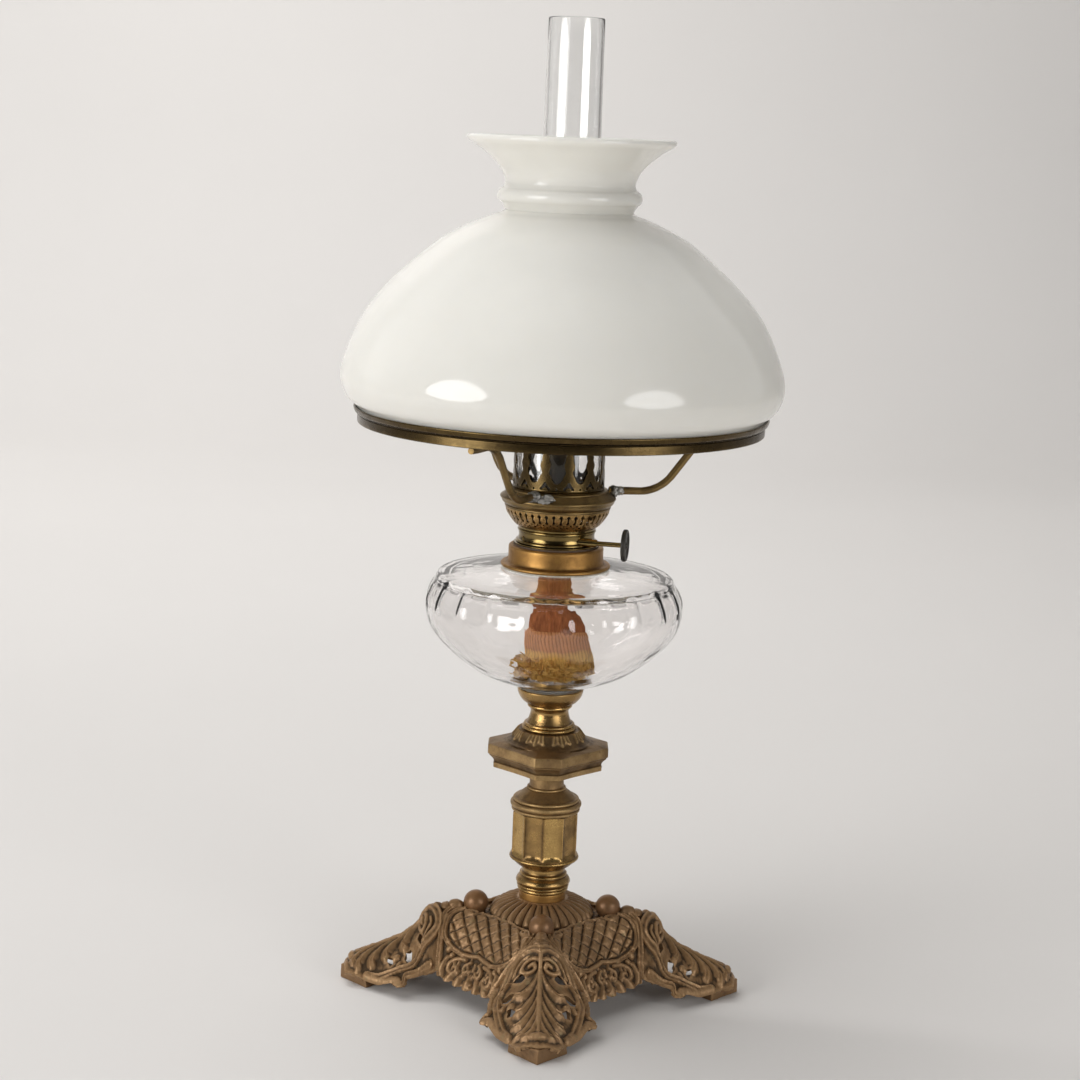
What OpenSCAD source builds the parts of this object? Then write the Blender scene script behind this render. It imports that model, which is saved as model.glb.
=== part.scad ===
// Kerosene table lamp with an opal shade, in millimetres, standing on z = 0.

/* [Base] */
// Axis to the outer corner of a foot
foot_reach = 122; // [105:1:140]
// Side of a square foot
foot_side = 24; // [16:1:30]
// Height of a foot
foot_h = 8.7; // [6:0.1:12]
// Height of the flat deck on top of the base
deck_h = 46.5; // [40:0.5:52]
// Half diagonal of the deck
deck_reach = 50; // [48:0.5:56]
// Wall of the casting
base_wall = 4; // [3:0.5:6]
// Height of the dome above the deck
dome_h = 10.5; // [8:0.5:14]
// Diameter of the dome where it meets the deck
dome_d = 63; // [54:1:66]
// Number of ribs round the dome
dome_ribs = 32; // [24:1:40]
// Half height of a rib
rib_h = 0.7; // [0.3:0.1:1]
// Axis to the bottom edge of a side apron
apron_reach = 64; // [58:1:70]
// Height of the apron's edge over the floor
apron_h = 11.5; // [8:0.5:16]
// Half width of a leg at its widest
leg_half_w = 31.5; // [24:0.5:34]
// Height of a leg's ridge over the deck
leg_crown_h = 3.5; // [2:0.5:5]
// Height of a leg's side edges over the feet, where it leaves the base
leg_side_h = 10.3; // [6:0.1:14]
// Height where a leg's ridge meets the foot
leg_foot_h = 14; // [12:0.5:18]
// Relief of the leaf cast on a leg
leaf_relief = 1.6; // [0:0.1:2.4]
// Half width of a side panel at its widest
panel_half_w = 38.5; // [34:0.5:42]
// Relief of the trellis and the shell cast on a side panel
trellis_relief = 1.2; // [0:0.1:2]
// Diameter of the bud before a ball
bud_d = 8.6; // [6:0.2:10]
// Diameter of a corner ball
ball_d = 15.2; // [12:0.2:16]
// Depth that a corner ball sits below the deck
ball_sink = 2.4; // [1:0.1:4]
// Depth of the seat turned in the deck for a ball
ball_seat = 0.4; // [0.2:0.1:1]
// Axis to the centre of a corner ball
ball_reach = 40.3; // [39:0.1:44]

/* [Stem] */
// Diameter of the gilt collar
collar_d = 28.4; // [24:0.2:32]
// Height of the gilt collar
collar_h = 5; // [4:0.5:8]
// Diameter of the lower knop
knop_d = 33; // [28:0.5:38]
// Height of the lower knop
knop_h = 14; // [11:0.5:18]
// Diameter of the joint between knop and drum
drum_foot_d = 25.6; // [22:0.2:28]
// Diameter of the fluted drum
drum_d = 38.6; // [34:0.2:42]
// Height of the drum
drum_h = 36; // [30:1:44]
// Height of the bowl under the flutes
bowl_h = 8.5; // [6:0.5:12]
// Number of flutes
flutes = 10; // [8:1:14]
// Depth of a flute
flute_depth = 1.8; // [1:0.1:2.4]
// Width of the strip left between two flutes
flute_land = 0.8; // [0.5:0.1:1.5]
// Diameter of the cap
cap_d = 43.2; // [40:0.2:48]
// Height of the cap without its neck
cap_h = 14.5; // [12:0.5:18]
// Diameter of the neck under the plate
neck_d = 20.8; // [18:0.2:24]
// Height of the neck under the plate
neck_h = 13; // [9:0.5:16]
// Axis to a cut corner of the square plate
plate_reach = 36.1; // [32:0.1:40]
// Width of a cut corner
plate_cut = 15.7; // [12:0.1:20]
// Height of the plate's lower tier
plate_low_h = 3.5; // [2.5:0.5:6]
// Height of the sloping step between the tiers
plate_step_h = 5; // [3:0.5:7]
// Step between the tiers
plate_step = 3.7; // [2:0.1:5]
// Height of the plate's band
plate_band_h = 6; // [4:0.5:8]
// Height of the leaf dome over the band
leaf_h = 9; // [7:0.5:12]
// Diameter of the leaf dome
leaf_d = 58; // [50:1:62]
// Diameter of the joint between plate and cup
cup_foot_d = 33; // [30:0.2:36]
// Height of the cup
cup_h = 25.4; // [22:0.2:30]
// Diameter of the cup's waist
waist_d = 22.8; // [20:0.2:26]
// Diameter of the cup's lip
lip_d = 39.6; // [36:0.2:44]
// Diameter of the tie rod
rod_d = 8; // [6:0.5:9]
// Across flats of the rod's nuts
nut_af = 13; // [11:0.5:14]
// Height of a nut
nut_h = 4; // [3:0.5:6]
// Outer diameter of the washer under the base
washer_d = 22; // [18:1:24]
// Thickness of that washer
washer_t = 1.5; // [1:0.5:2]

/* [Font] */
// Widest diameter of the font
font_d = 153.6; // [140:1:166]
// Height from the cup's lip to the top of the font
font_h = 73.6; // [66:0.2:80]
// Diameter over the bead on the shoulder
shoulder_d = 139; // [126:1:142]
// Drop from the top of the font to the shoulder bead
shoulder_drop = 4.6; // [3:0.2:7]
// Glass thickness of the font
font_wall = 3.6; // [2.8:0.2:5]
// Number of scoops round the shoulder
scoops = 21; // [16:1:26]
// Depth of a scoop
scoop_depth = 1.4; // [0.8:0.1:1.8]
// Radius of the cutter of a scoop
scoop_r = 46; // [34:1:60]
// Outer diameter of the font's glass neck
mouth_d = 52; // [50:0.2:52.6]
// Height of the glass neck
mouth_h = 9; // [7:0.5:10]
// Diameter of the screw collar
screw_d = 56.4; // [56:0.2:60]
// Height of the screw collar over its flange
screw_h = 10.6; // [10:0.2:14]
// Diameter of the collar's flange
flange_d = 65.2; // [60:0.2:70]
// Thickness of the flange
flange_t = 2.2; // [1.6:0.2:3]
// Thickness of the plaster under the flange
plaster_t = 0.8; // [0.5:0.1:1.2]
// Bore of the screw collar
screw_bore = 43.8; // [42:0.2:44]
// Metal thickness of the collar
screw_wall = 1.2; // [0.8:0.1:1.4]

/* [Burner] */
// Thickness of the sealing washer
seal_t = 1; // [0.6:0.1:1.6]
// Diameter of the polished neck
polish_d = 46; // [44:0.2:48]
// Height of the polished neck
polish_h = 10.4; // [10:0.2:13]
// Length of the screw plug
plug_h = 10; // [7:0.5:12]
// Sheet thickness of the burner
sheet = 1; // [0.6:0.1:1.2]
// Diameter of the air basket at its top
basket_d = 62.2; // [56:0.2:66]
// Height of the air basket
basket_h = 11.6; // [10:0.2:14]
// Number of slots in the basket
slots = 44; // [30:1:48]
// Width of a slot
slot_w = 1.7; // [1:0.1:2]
// Height of a slot
slot_h = 5.5; // [4:0.5:6]
// Diameter of the bulged band
band_d = 68.6; // [64:0.2:72]
// Height of the bulged band
band_h = 11.6; // [10:0.2:14]
// Diameter of the crown that holds the chimney
crown_d = 54.8; // [54:0.2:57]
// Height of the crown
crown_h = 28; // [24:1:32]
// Number of arches in the crown
arches = 12; // [10:1:14]
// Width of an arch
arch_w = 9; // [6:0.5:10]
// Height of the crown below its arches
arch_foot = 10; // [8:0.5:13]
// Outer diameter of the outer wick tube
tube_d = 22.8; // [22.6:0.2:24]
// Height of the tubes over the chimney seat
tube_rise = 22; // [16:1:26]
// Outer diameter of the draught tube
draught_d = 15.2; // [13:0.2:15.4]
// Wall of the tubes
tube_wall = 0.7; // [0.5:0.1:0.8]

/* [Wick works] */
// Direction of the spindle, turned from +X
spindle_turn = -11; // [-25:1:5]
// Lamp axis to the spindle, square to it
spindle_off = 14; // [13.6:0.1:15]
// Height of the spindle over the burner's flange
spindle_up = 4; // [3.8:0.1:5]
// Diameter of the spindle
spindle_d = 2.9; // [2.4:0.1:3.2]
// Lamp axis to the middle of the knob, along the spindle
knob_out = 43.4; // [40:0.2:50]
// Diameter of the knob
knob_disc_d = 19; // [16:0.5:21]
// Thickness of the knob
knob_t = 2.6; // [2:0.1:4]
// Diameter of the spindle's sleeve
sleeve_d = 5.2; // [4.6:0.1:5.6]
// End of the sleeve, along the spindle
sleeve_out = 27; // [24:0.5:32]
// Teeth of a cog
teeth = 9; // [7:1:12]
// Thickness of a cog
cog_t = 1.4; // [1:0.1:2]
// Distance of a cog from the middle
cog_off = 1.8; // [1.4:0.1:2]
// Thickness of the wick
wick_t = 2.4; // [1.6:0.1:2.4]
// Depth of the wick's end under the rim of its tube
wick_low = 2; // [1:0.5:6]
// Width of the wick's open side in the burner, in degrees
wick_open = 64; // [50:1:90]
// Radius of the wick's curve at its tail
tail_r = 24; // [18:1:26]
// Shift of the wick's tail to +X
tail_shift = 5; // [0:0.5:6]

/* [Glass] */
// Outer diameter of the chimney's foot
foot_tube_d = 52; // [50:0.2:52.4]
// Height of the chimney's foot
foot_tube_h = 38; // [34:1:44]
// Diameter of the pinch over the foot
pinch_d = 33; // [30:0.5:40]
// Height of the pinch over the chimney's lower end
pinch_up = 53; // [50:1:60]
// Diameter of the chimney over the pinch
tall_tube_d = 35; // [33:0.5:40]
// Diameter of the chimney's mouth
chimney_top_d = 32.4; // [30:0.2:36]
// Length of the chimney
chimney_h = 270.6; // [240:1:290]
// Glass thickness of the chimney
chimney_wall = 1.6; // [1.2:0.1:2]
// Diameter of the shade's lower edge
shade_edge_d = 233; // [228:1:235]
// Widest diameter of the shade
shade_d = 259.6; // [250:1:270]
// Height from the shade's edge to its widest part
shade_belly_h = 28; // [22:1:34]
// Diameter of the shade's neck
shade_neck_d = 74; // [70:1:84]
// Height of the shade's neck over its edge
shade_neck_h = 124; // [116:1:132]
// Diameter of the bead round the neck
shade_bead_d = 84; // [78:1:90]
// Diameter of the shade's rim
shade_rim_d = 120.8; // [110:1:130]
// Height of the shade
shade_h = 167; // [158:1:176]
// Glass thickness of the shade
shade_wall = 3; // [2.4:0.2:4]

/* [Shade ring] */
// Outer diameter of the ring's band
ring_d = 239; // [238:1:242]
// Inner diameter of the ring's floor
ring_bore = 224; // [216:1:226]
// Height of the ring's floor over the chimney seat
ring_rise = 36.4; // [32:0.2:42]
// Height of the ring's band
ring_band_h = 5.2; // [4:0.2:7]
// Height of the rolled lip
ring_lip_h = 4.4; // [3:0.2:6]
// Overhang of the rolled lip
ring_lip = 2.4; // [1.5:0.1:3]
// Metal thickness of the ring
ring_t = 1; // [0.8:0.1:1.2]
// Directions of the three arms
arm_turns = [5, 125, 245];
// Diameter of an arm's rod
arm_d = 4.5; // [3.5:0.1:5]
// Axis to the end of an arm's level foot
arm_foot_r = 48; // [44:1:54]
// Axis to the outer end of an arm
arm_end_r = 116; // [113.5:0.5:117]
// Bend radius of an arm
arm_bend = 23.6; // [16:0.2:26]
// Slope of an arm between its bends
arm_slope = 54; // [45:1:65]
// Depth of an arm's foot under the chimney seat
arm_low = 1.2; // [0.8:0.1:2.4]

/* [Clearances] */
// Between a shaft and its bush, all round
run_gap = 0.06; // [0.02:0.01:0.1]
// Between pieces that lift or screw apart, all round
free_gap = 0.3; // [0.25:0.05:0.4]
// Between the wick and the tubes, all round
wick_gap = 0.3; // [0.25:0.05:0.4]
// Between the tie rod and its holes, all round
rod_gap = 0.3; // [0.2:0.05:0.5]

/* [Hidden] */
$fn = 96;
cut = 0.5;
collar_z = deck_h + dome_h;
roof_z = collar_z - 3;
rod_z = roof_z - washer_t - nut_h - 5;
knop_z = collar_z + collar_h;
drum_z = knop_z + knop_h;
cap_z = drum_z + drum_h;
plate_z = cap_z + cap_h + neck_h;
band_z = plate_z + plate_low_h + plate_step_h;
cup_z = band_z + plate_band_h + leaf_h;
lip_z = cup_z + cup_h;
font_z = lip_z + font_h;
flange_z = font_z + plaster_t;
screw_z = flange_z + flange_t + screw_h;
burner_z = screw_z + seal_t;
deck_z = burner_z + polish_h;
bulge_z = deck_z + basket_h;
seat_z = bulge_z + band_h;
tube_top = seat_z + tube_rise;
ring_z = seat_z + ring_rise;
spindle_z = burner_z + spindle_up;
rod_hole = rod_d + 2 * rod_gap;
cup_floor = lip_z - 8.4;
peg_z = lip_z - 3.4;
shade_z = ring_z + ring_t;
wick_r = draught_d / 2 + wick_gap + wick_t / 2;
tube_bore = draught_d + 4 * wick_gap + 2 * wick_t;
cog_r = spindle_off - wick_r - wick_t / 2 - 0.25;
mouth_bore = mouth_d - 2 * 2.2;

// A smooth curve through the points p, n steps to a span
function curve(p, n = 6) = concat(
    [for (i = [0 : len(p) - 2]) each
        [for (j = [0 : n - 1])
            let (t = j / n, a = p[max(i - 1, 0)], b = p[i], c = p[i + 1], d = p[min(i + 2, len(p) - 1)])
            (2 * b + (c - a) * t + (2 * a - 5 * b + 4 * c - d) * t * t
                + (3 * b - a - 3 * c + d) * t * t * t) / 2]],
    [p[len(p) - 1]]);

// A cubic Bezier value at t
function bez(a, b, c, d, t) =
    pow(1 - t, 3) * a + 3 * pow(1 - t, 2) * t * b + 3 * (1 - t) * t * t * c + pow(t, 3) * d;

// An arc about [x, z]
function arc(x, z, r, a0, a1, n = 8) =
    [for (i = [0 : n]) let (a = a0 + (a1 - a0) * i / n) [x + r * cos(a), z + r * sin(a)]];

// The points p moved sideways by d, to the left of their direction
function beside(p, d) = [for (i = [0 : len(p) - 1])
    let (t = p[min(i + 1, len(p) - 1)] - p[max(i - 1, 0)])
    p[i] + d * [-t[1], t[0]] / norm(t)];

function backwards(p) = [for (i = [len(p) - 1 : -1 : 0]) p[i]];

// Triangles of a closed grid of rows by cols points whose columns wrap round
function wrap_faces(rows, cols) = concat(
    [for (i = [0 : rows - 2]) for (j = [0 : cols - 1])
        let (k = (j + 1) % cols) each [
            [i * cols + j, i * cols + k, (i + 1) * cols + k],
            [i * cols + j, (i + 1) * cols + k, (i + 1) * cols + j]]],
    [[for (j = [cols - 1 : -1 : 0]) j]],
    [[for (j = [0 : cols - 1]) (rows - 1) * cols + j]]);

module turned(profile) {
    rotate_extrude()
        polygon(profile);
}

// A solid whose rows are loops of points, each row a section
module loops(rows) {
    polyhedron([for (r = rows) each r], wrap_faces(len(rows), len(rows[0])));
}

// A solid between two grids of points, front and back, each made of equal rows
module shell(front, back) {
    rows = len(front);
    cols = len(front[0]);
    n = rows * cols;
    rim = concat(
        [for (j = [0 : cols - 2]) [j, j + 1]],
        [for (i = [1 : rows - 1]) [i * cols - 1, (i + 1) * cols - 1]],
        [for (j = [cols - 2 : -1 : 0]) [n - cols + j + 1, n - cols + j]],
        [for (i = [rows - 2 : -1 : 0]) [(i + 1) * cols, i * cols]]);
    polyhedron(
        concat([for (r = front) each r], [for (r = back) each r]),
        concat(
            [for (i = [0 : rows - 2]) for (j = [0 : cols - 2]) let (k = i * cols + j) each [
                [k, k + 1, k + cols + 1], [k, k + cols + 1, k + cols],
                [n + k, n + k + cols + 1, n + k + 1], [n + k, n + k + cols, n + k + cols + 1]]],
            [for (e = rim) each [[e[1], e[0], n + e[0]], [e[1], n + e[0], n + e[1]]]]));
}

// Base

// Course of a leg's ridge: how far along it, then its share of the way out and of the height
leg_course = [[0, 0.07, 0.983], [0.135, 0.217, 0.978], [0.225, 0.315, 0.942], [0.26, 0.35, 0.913],
    [0.317, 0.382, 0.806], [0.417, 0.437, 0.625], [0.486, 0.493, 0.525], [0.544, 0.545, 0.453],
    [0.694, 0.694, 0.322], [0.834, 0.836, 0.218], [0.939, 0.939, 0.116], [1, 0.983, 0.02]];
// Share of a leg's half width, and of its side edges' height, along it
leg_breadth = [[0, 0.25], [0.1, 0.62], [0.135, 0.83], [0.36, 0.91], [0.53, 1],
    [0.7, 0.67], [0.81, 0.51], [1, 0.39]];
leg_edge = [[0, 3.4], [0.1, 1.6], [0.135, 1], [0.19, 1], [0.29, 0.66], [0.42, 0.37], [0.54, 0.03], [1, 0]];
leg_rows = 20;
leg_cols = 5;

function leg_out(t) = ball_reach + lookup(t, [for (q = leg_course) [q[0], q[1]]]) * (foot_reach - ball_reach);
function leg_up(t) =
    foot_h + lookup(t, [for (q = leg_course) [q[0], q[2]]]) * (deck_h + leg_crown_h - foot_h);
function leg_half(t) = leg_half_w * lookup(t, leg_breadth);

// Relief of a leg at row i and column j: midrib, rolled edges, arch, and the leaf's lobes
function leg_carve(i, j) =
    let (aside = abs(j) * leg_half(i / leg_rows) / leg_cols)
    leaf_relief * (j == 0 ? 1.2 : abs(j) == leg_cols ? 0.8 : i < 4 ? 0 : i < 6 ? 1
        : aside < 15 && (i + abs(j)) % 2 == 0 ? 1 : 0);

// Row i of a leg, across its length from side to side, raised by its relief times lift
function leg_row(i, lift) =
    let (t = i / leg_rows, w = leg_half(t))
    let (fall = leg_up(t) - foot_h - leg_side_h * lookup(t, leg_edge))
    [for (j = [-leg_cols : leg_cols])
        let (f = abs(j / leg_cols))
        [leg_out(t), j / leg_cols * w, leg_up(t) - fall * pow(f, 1.5) + lift * leg_carve(i, j)]];

// Pierced hole of a leg between two shares of its length and two of its half width
module leg_hole(t0, t1, f0, f1) {
    linear_extrude(height = deck_h)
        polygon([
            [leg_out(t0), f0 * leg_half(t0)],
            [leg_out(t0 * 0.6 + t1 * 0.4), f1 * leg_half(t0)],
            [leg_out(t1), (f0 * 0.3 + f1 * 0.7) * leg_half(t1)],
            [leg_out(t0 * 0.3 + t1 * 0.7), f0 * leg_half(t1)]]);
}

module leg() {
    difference() {
        union() {
            shell([for (i = [0 : leg_rows]) leg_row(i, 1)],
                [for (i = [0 : leg_rows]) [for (q = leg_row(i, 0)) q - [0, 0, base_wall]]]);
            translate([foot_reach - foot_side / sqrt(2), 0, foot_h / 2])
                rotate([0, 0, 45])
                    cube([foot_side, foot_side, foot_h], center = true);
            translate([foot_reach - foot_side / sqrt(2) - 1, 0, 0])
                cylinder(d1 = foot_side - 4, d2 = foot_side - 12, h = leg_foot_h, $fn = 16);
            translate([leg_out(0.09), 0, deck_h + leg_crown_h - 1.4])
                scale([1.2, 0.9, 1])
                    sphere(d = bud_d, $fn = 14);
        }
        for (s = [0, 1])
            mirror([0, s, 0]) {
                leg_hole(0.33, 0.41, 0.29, 0.56);
                leg_hole(0.44, 0.515, 0.46, 0.71);
                leg_hole(0.59, 0.645, 0.45, 0.68);
            }
    }
}

// Middle and edge of a side panel, from the dome down to the apron's edge: out and up, the edge aside too
function panel_middle(t) = [
    bez(dome_d / 2 - 0.5, 47, apron_reach - 9, apron_reach - 0.6, t),
    bez(deck_h + 1.7, deck_h - 2.6, apron_h + 11.5, apron_h, t)];
function panel_edge(t) = [
    bez(dome_d / 2 + 4.5, apron_reach - 7.4, apron_reach - 3.1, apron_reach - 0.6, t),
    panel_half_w * bez(0.857, 1.322, 0.517, 0.634, t),
    bez(deck_h + 2, deck_h + 2.6, apron_h + 9, apron_h, t)];
panel_rows = 10;
panel_cols = 6;

// Relief of a side panel: rolled edges, the trellis's pillows, and the lobes of the shell below them
function panel_carve(i, j) = trellis_relief * (abs(j) == panel_cols ? 1.2
    : i < 7 ? (i + abs(j)) % 2 : abs(j) % 2 == 0 ? 1.4 : 0);

// Row i of a side panel, from side to side, moved off its face by d and by its relief times lift
function panel_row(i, d, lift) =
    let (t = i / panel_rows, m = panel_middle(t), e = panel_edge(t))
    [for (j = [-panel_cols : panel_cols])
        let (f = j / panel_cols, q = f * f, out = d + lift * panel_carve(i, j))
        [m[0] + (e[0] - m[0]) * q + (0.35 + 0.65 * t) * out, f * e[1],
            m[1] + (e[2] - m[1]) * q + (1 - t) * out]];

module side_panel() {
    shell([for (i = [0 : panel_rows]) panel_row(i, 0, 1)],
        [for (i = [0 : panel_rows]) panel_row(i, -base_wall, 0)]);
}

function dome_point(t) = [
    bez(dome_d / 2, dome_d / 2 - 1, dome_d / 2 - 8, collar_d / 2 + 1, t),
    deck_h + bez(-0.5, dome_h * 0.5, dome_h - 1, dome_h, t)];

module ribbed_dome() {
    loops([for (i = [5 : -1 : 0])
        let (p = dome_point(i / 5))
        [for (j = [0 : dome_ribs * 2 - 1])
            let (r = p[0] + rib_h * (1 - i / 5) * cos(j * 180))
            [r * cos(j * 180 / dome_ribs), r * sin(j * 180 / dome_ribs), p[1]]]]);
}

module base_casting() {
    color("#7d5f41")
        resize([2 * foot_reach, 2 * foot_reach, 0])
            difference() {
                union() {
                    ribbed_dome();
                    translate([0, 0, deck_h - base_wall / 2])
                        rotate([0, 0, 45])
                            cube([deck_reach * sqrt(2), deck_reach * sqrt(2), base_wall], center = true);
                    for (a = [0 : 90 : 270])
                        rotate([0, 0, a]) {
                            leg();
                            rotate([0, 0, 45])
                                side_panel();
                        }
                }
                cylinder(d = rod_hole, h = 2 * collar_z, $fn = 32);
                for (a = [0 : 90 : 270])
                    rotate([0, 0, a])
                        translate([ball_reach, 0, deck_h - ball_seat])
                            cylinder(d = ball_d + 2 * free_gap, h = ball_d, $fn = 32);
                translate([0, 0, deck_h - base_wall - cut])
                    cylinder(d1 = dome_d - 14, d2 = dome_d - 28, h = roof_z - deck_h + base_wall + cut,
                        $fn = 32);
                translate([0, 0, -1])
                    cube([4 * foot_reach, 4 * foot_reach, 2], center = true);
            }
}

module corner_balls() {
    color("#8a6a48")
        for (a = [0 : 90 : 270])
            rotate([0, 0, a])
                difference() {
                    translate([ball_reach, 0, deck_h + ball_d / 2 - ball_sink])
                        sphere(d = ball_d);
                    translate([ball_reach - ball_d, -ball_d, deck_h - ball_seat - ball_d])
                        cube([2 * ball_d, 2 * ball_d, ball_d]);
                }
}

// Stem, each piece with a hole for the tie rod

module stem_turned(z, outline) {
    translate([0, 0, z])
        turned(concat([[rod_hole / 2, outline[0][1]]], outline,
            [[rod_hole / 2, outline[len(outline) - 1][1]]]));
}

module base_collar() {
    r = collar_d / 2;
    color("#c08a35")
        stem_turned(collar_z, [[r, 0], [r, collar_h - 0.6], [r - 0.6, collar_h]]);
}

module lower_knop() {
    r = knop_d / 2;
    color("#8f6f3e")
        stem_turned(knop_z, concat(
            [[r - 2.4, 0]],
            arc(r - 2.4, 1.3, 1.3, -90, 60),
            arc(r - 1.7, 3.4, 1.1, -70, 40, 5),
            curve([[r - 0.3, 4.4], [r, 6], [r - 1.1, 8.4], [r - 2.2, 9.8]]),
            arc(r - 3.2, 10.6, 0.9, -40, 80, 6),
            [[drum_foot_d / 2, knop_h - 2], [drum_foot_d / 2, knop_h]]));
}

module column_drum() {
    r = drum_d / 2;
    step = 180 / flutes;
    half = r * sin(step) - flute_land / 2;
    lift = sqrt(r * r - half * half) - r + flute_depth;
    flute_r = (half * half + lift * lift) / (2 * lift);
    color("#b08a4a")
        difference() {
            stem_turned(drum_z, concat(
                [[drum_foot_d / 2, 0]],
                curve([[drum_foot_d / 2, 0.6], [r - 4, 2.6], [r - 0.4, bowl_h - 2.4]], 5),
                arc(r, bowl_h - 1.3, 1, -70, 90, 6),
                [[r, bowl_h], [r, drum_h]]));
            for (i = [0 : flutes - 1])
                rotate([0, 0, -93 + step + 2 * step * i])
                    translate([r - flute_depth + flute_r, 0, drum_z + bowl_h])
                        cylinder(r = flute_r, h = drum_h);
        }
}

module column_cap() {
    r = cap_d / 2;
    n = neck_d / 2;
    color("#a37f42")
        stem_turned(cap_z, concat(
            [[r - 3, 0]],
            arc(r - 2, 1.4, 1.2, -90, 60, 6),
            arc(r - 1.9, 4.6, 1.9, -70, 80),
            arc(r - 2.7, 7.5, 1.1, -60, 80, 6),
            curve([[r - 3.6, 8.6], [r - 6.6, 11.6], [n + 1.4, cap_h - 0.8]], 5),
            arc(n + 0.6, cap_h, 0.8, -60, 90, 5),
            [[n, cap_h + 0.8], [n, cap_h + neck_h]]));
}

// Square with cut corners, corners on the axes
module cut_square(reach, w) {
    polygon([for (a = [0 : 90 : 270]) each [
        [reach * cos(a) + w / 2 * sin(a), reach * sin(a) - w / 2 * cos(a)],
        [reach * cos(a) - w / 2 * sin(a), reach * sin(a) + w / 2 * cos(a)]]]);
}

module square_plate() {
    inner = plate_reach - plate_step;
    color("#a98446")
        difference() {
            union() {
                translate([0, 0, plate_z])
                    linear_extrude(height = plate_low_h)
                        cut_square(inner, plate_cut - 1.5);
                translate([0, 0, plate_z + plate_low_h - 0.01])
                    linear_extrude(height = plate_step_h + 0.02, scale = (plate_reach - 0.6) / (inner - 1))
                        cut_square(inner - 1, plate_cut - 2);
                translate([0, 0, band_z])
                    linear_extrude(height = plate_band_h)
                        cut_square(plate_reach, plate_cut);
                translate([0, 0, band_z + plate_band_h - 0.01])
                    linear_extrude(height = 2.5, scale = 0.8)
                        cut_square(plate_reach - 0.8, plate_cut - 0.8);
                translate([0, 0, band_z + plate_band_h - 1])
                    turned(concat([[0, 0], [leaf_d / 2, 0]],
                        curve([[leaf_d / 2, 1], [leaf_d / 2 - 4, 4], [cup_foot_d / 2 + 4, leaf_h - 1.5],
                            [cup_foot_d / 2, leaf_h + 1]], 5),
                        [[0, leaf_h + 1]]));
            }
            cylinder(d = rod_hole, h = 2 * cup_z);
        }
}

module font_cup() {
    w = waist_d / 2;
    f = cup_foot_d / 2;
    l = lip_d / 2;
    color("#b58d4c")
        translate([0, 0, cup_z])
            turned(concat(
                [[rod_hole / 2, 0], [f - 1, 0]],
                arc(f - 1.3, 1.2, 1.2, -80, 80, 6),
                arc(f - 2.2, 3.2, 1, -70, 80, 6),
                curve([[f - 3, 4.2], [w + 0.6, 7.6], [w, 11], [w + 0.8, 13.4]], 5),
                arc(w + 0.9, 14.8, 1.2, -70, 70, 6),
                curve([[w + 1.4, 16], [w + 3.4, 18.6], [l - 2, cup_h - 3.4], [l - 0.4, cup_h - 1.6]], 5),
                [[l, cup_h - 1], [l, cup_h], [l - 1.6, cup_h], [w, cup_floor - cup_z],
                    [rod_hole / 2, cup_floor - cup_z]]));
}

module tie_rod() {
    color("#777777")
        translate([0, 0, rod_z])
            cylinder(d = rod_d, h = cup_floor + nut_h - 1 - rod_z);
}

module nut_at(z) {
    translate([0, 0, z])
        difference() {
            cylinder(d = nut_af / cos(30), h = nut_h, $fn = 6);
            translate([0, 0, -cut])
                cylinder(d = rod_d, h = nut_h + 2 * cut);
        }
}

module tie_washer() {
    color("#8a8a86")
        translate([0, 0, roof_z - washer_t])
            difference() {
                cylinder(d = washer_d, h = washer_t);
                translate([0, 0, -cut])
                    cylinder(d = rod_hole, h = washer_t + 2 * cut);
            }
}

module tie_nut() {
    color("#777777")
        nut_at(roof_z - washer_t - nut_h);
}

module cup_nut() {
    color("#777777")
        nut_at(cup_floor);
}

// Font

// Radius of the cup's inside at height z
function cup_bore(z) =
    waist_d / 2 + (lip_d / 2 - 1.6 - waist_d / 2) * (z - cup_floor) / (lip_z - cup_floor);
// Radius of the font's foot at height z
function peg_r(z) = waist_d / 2 + 0.6 + (z - peg_z);

module cup_plaster() {
    color("#d8d2c2")
        turned([[peg_r(peg_z), peg_z], [cup_bore(peg_z), peg_z], [cup_bore(lip_z), lip_z],
            [peg_r(lip_z), lip_z]]);
}

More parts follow.
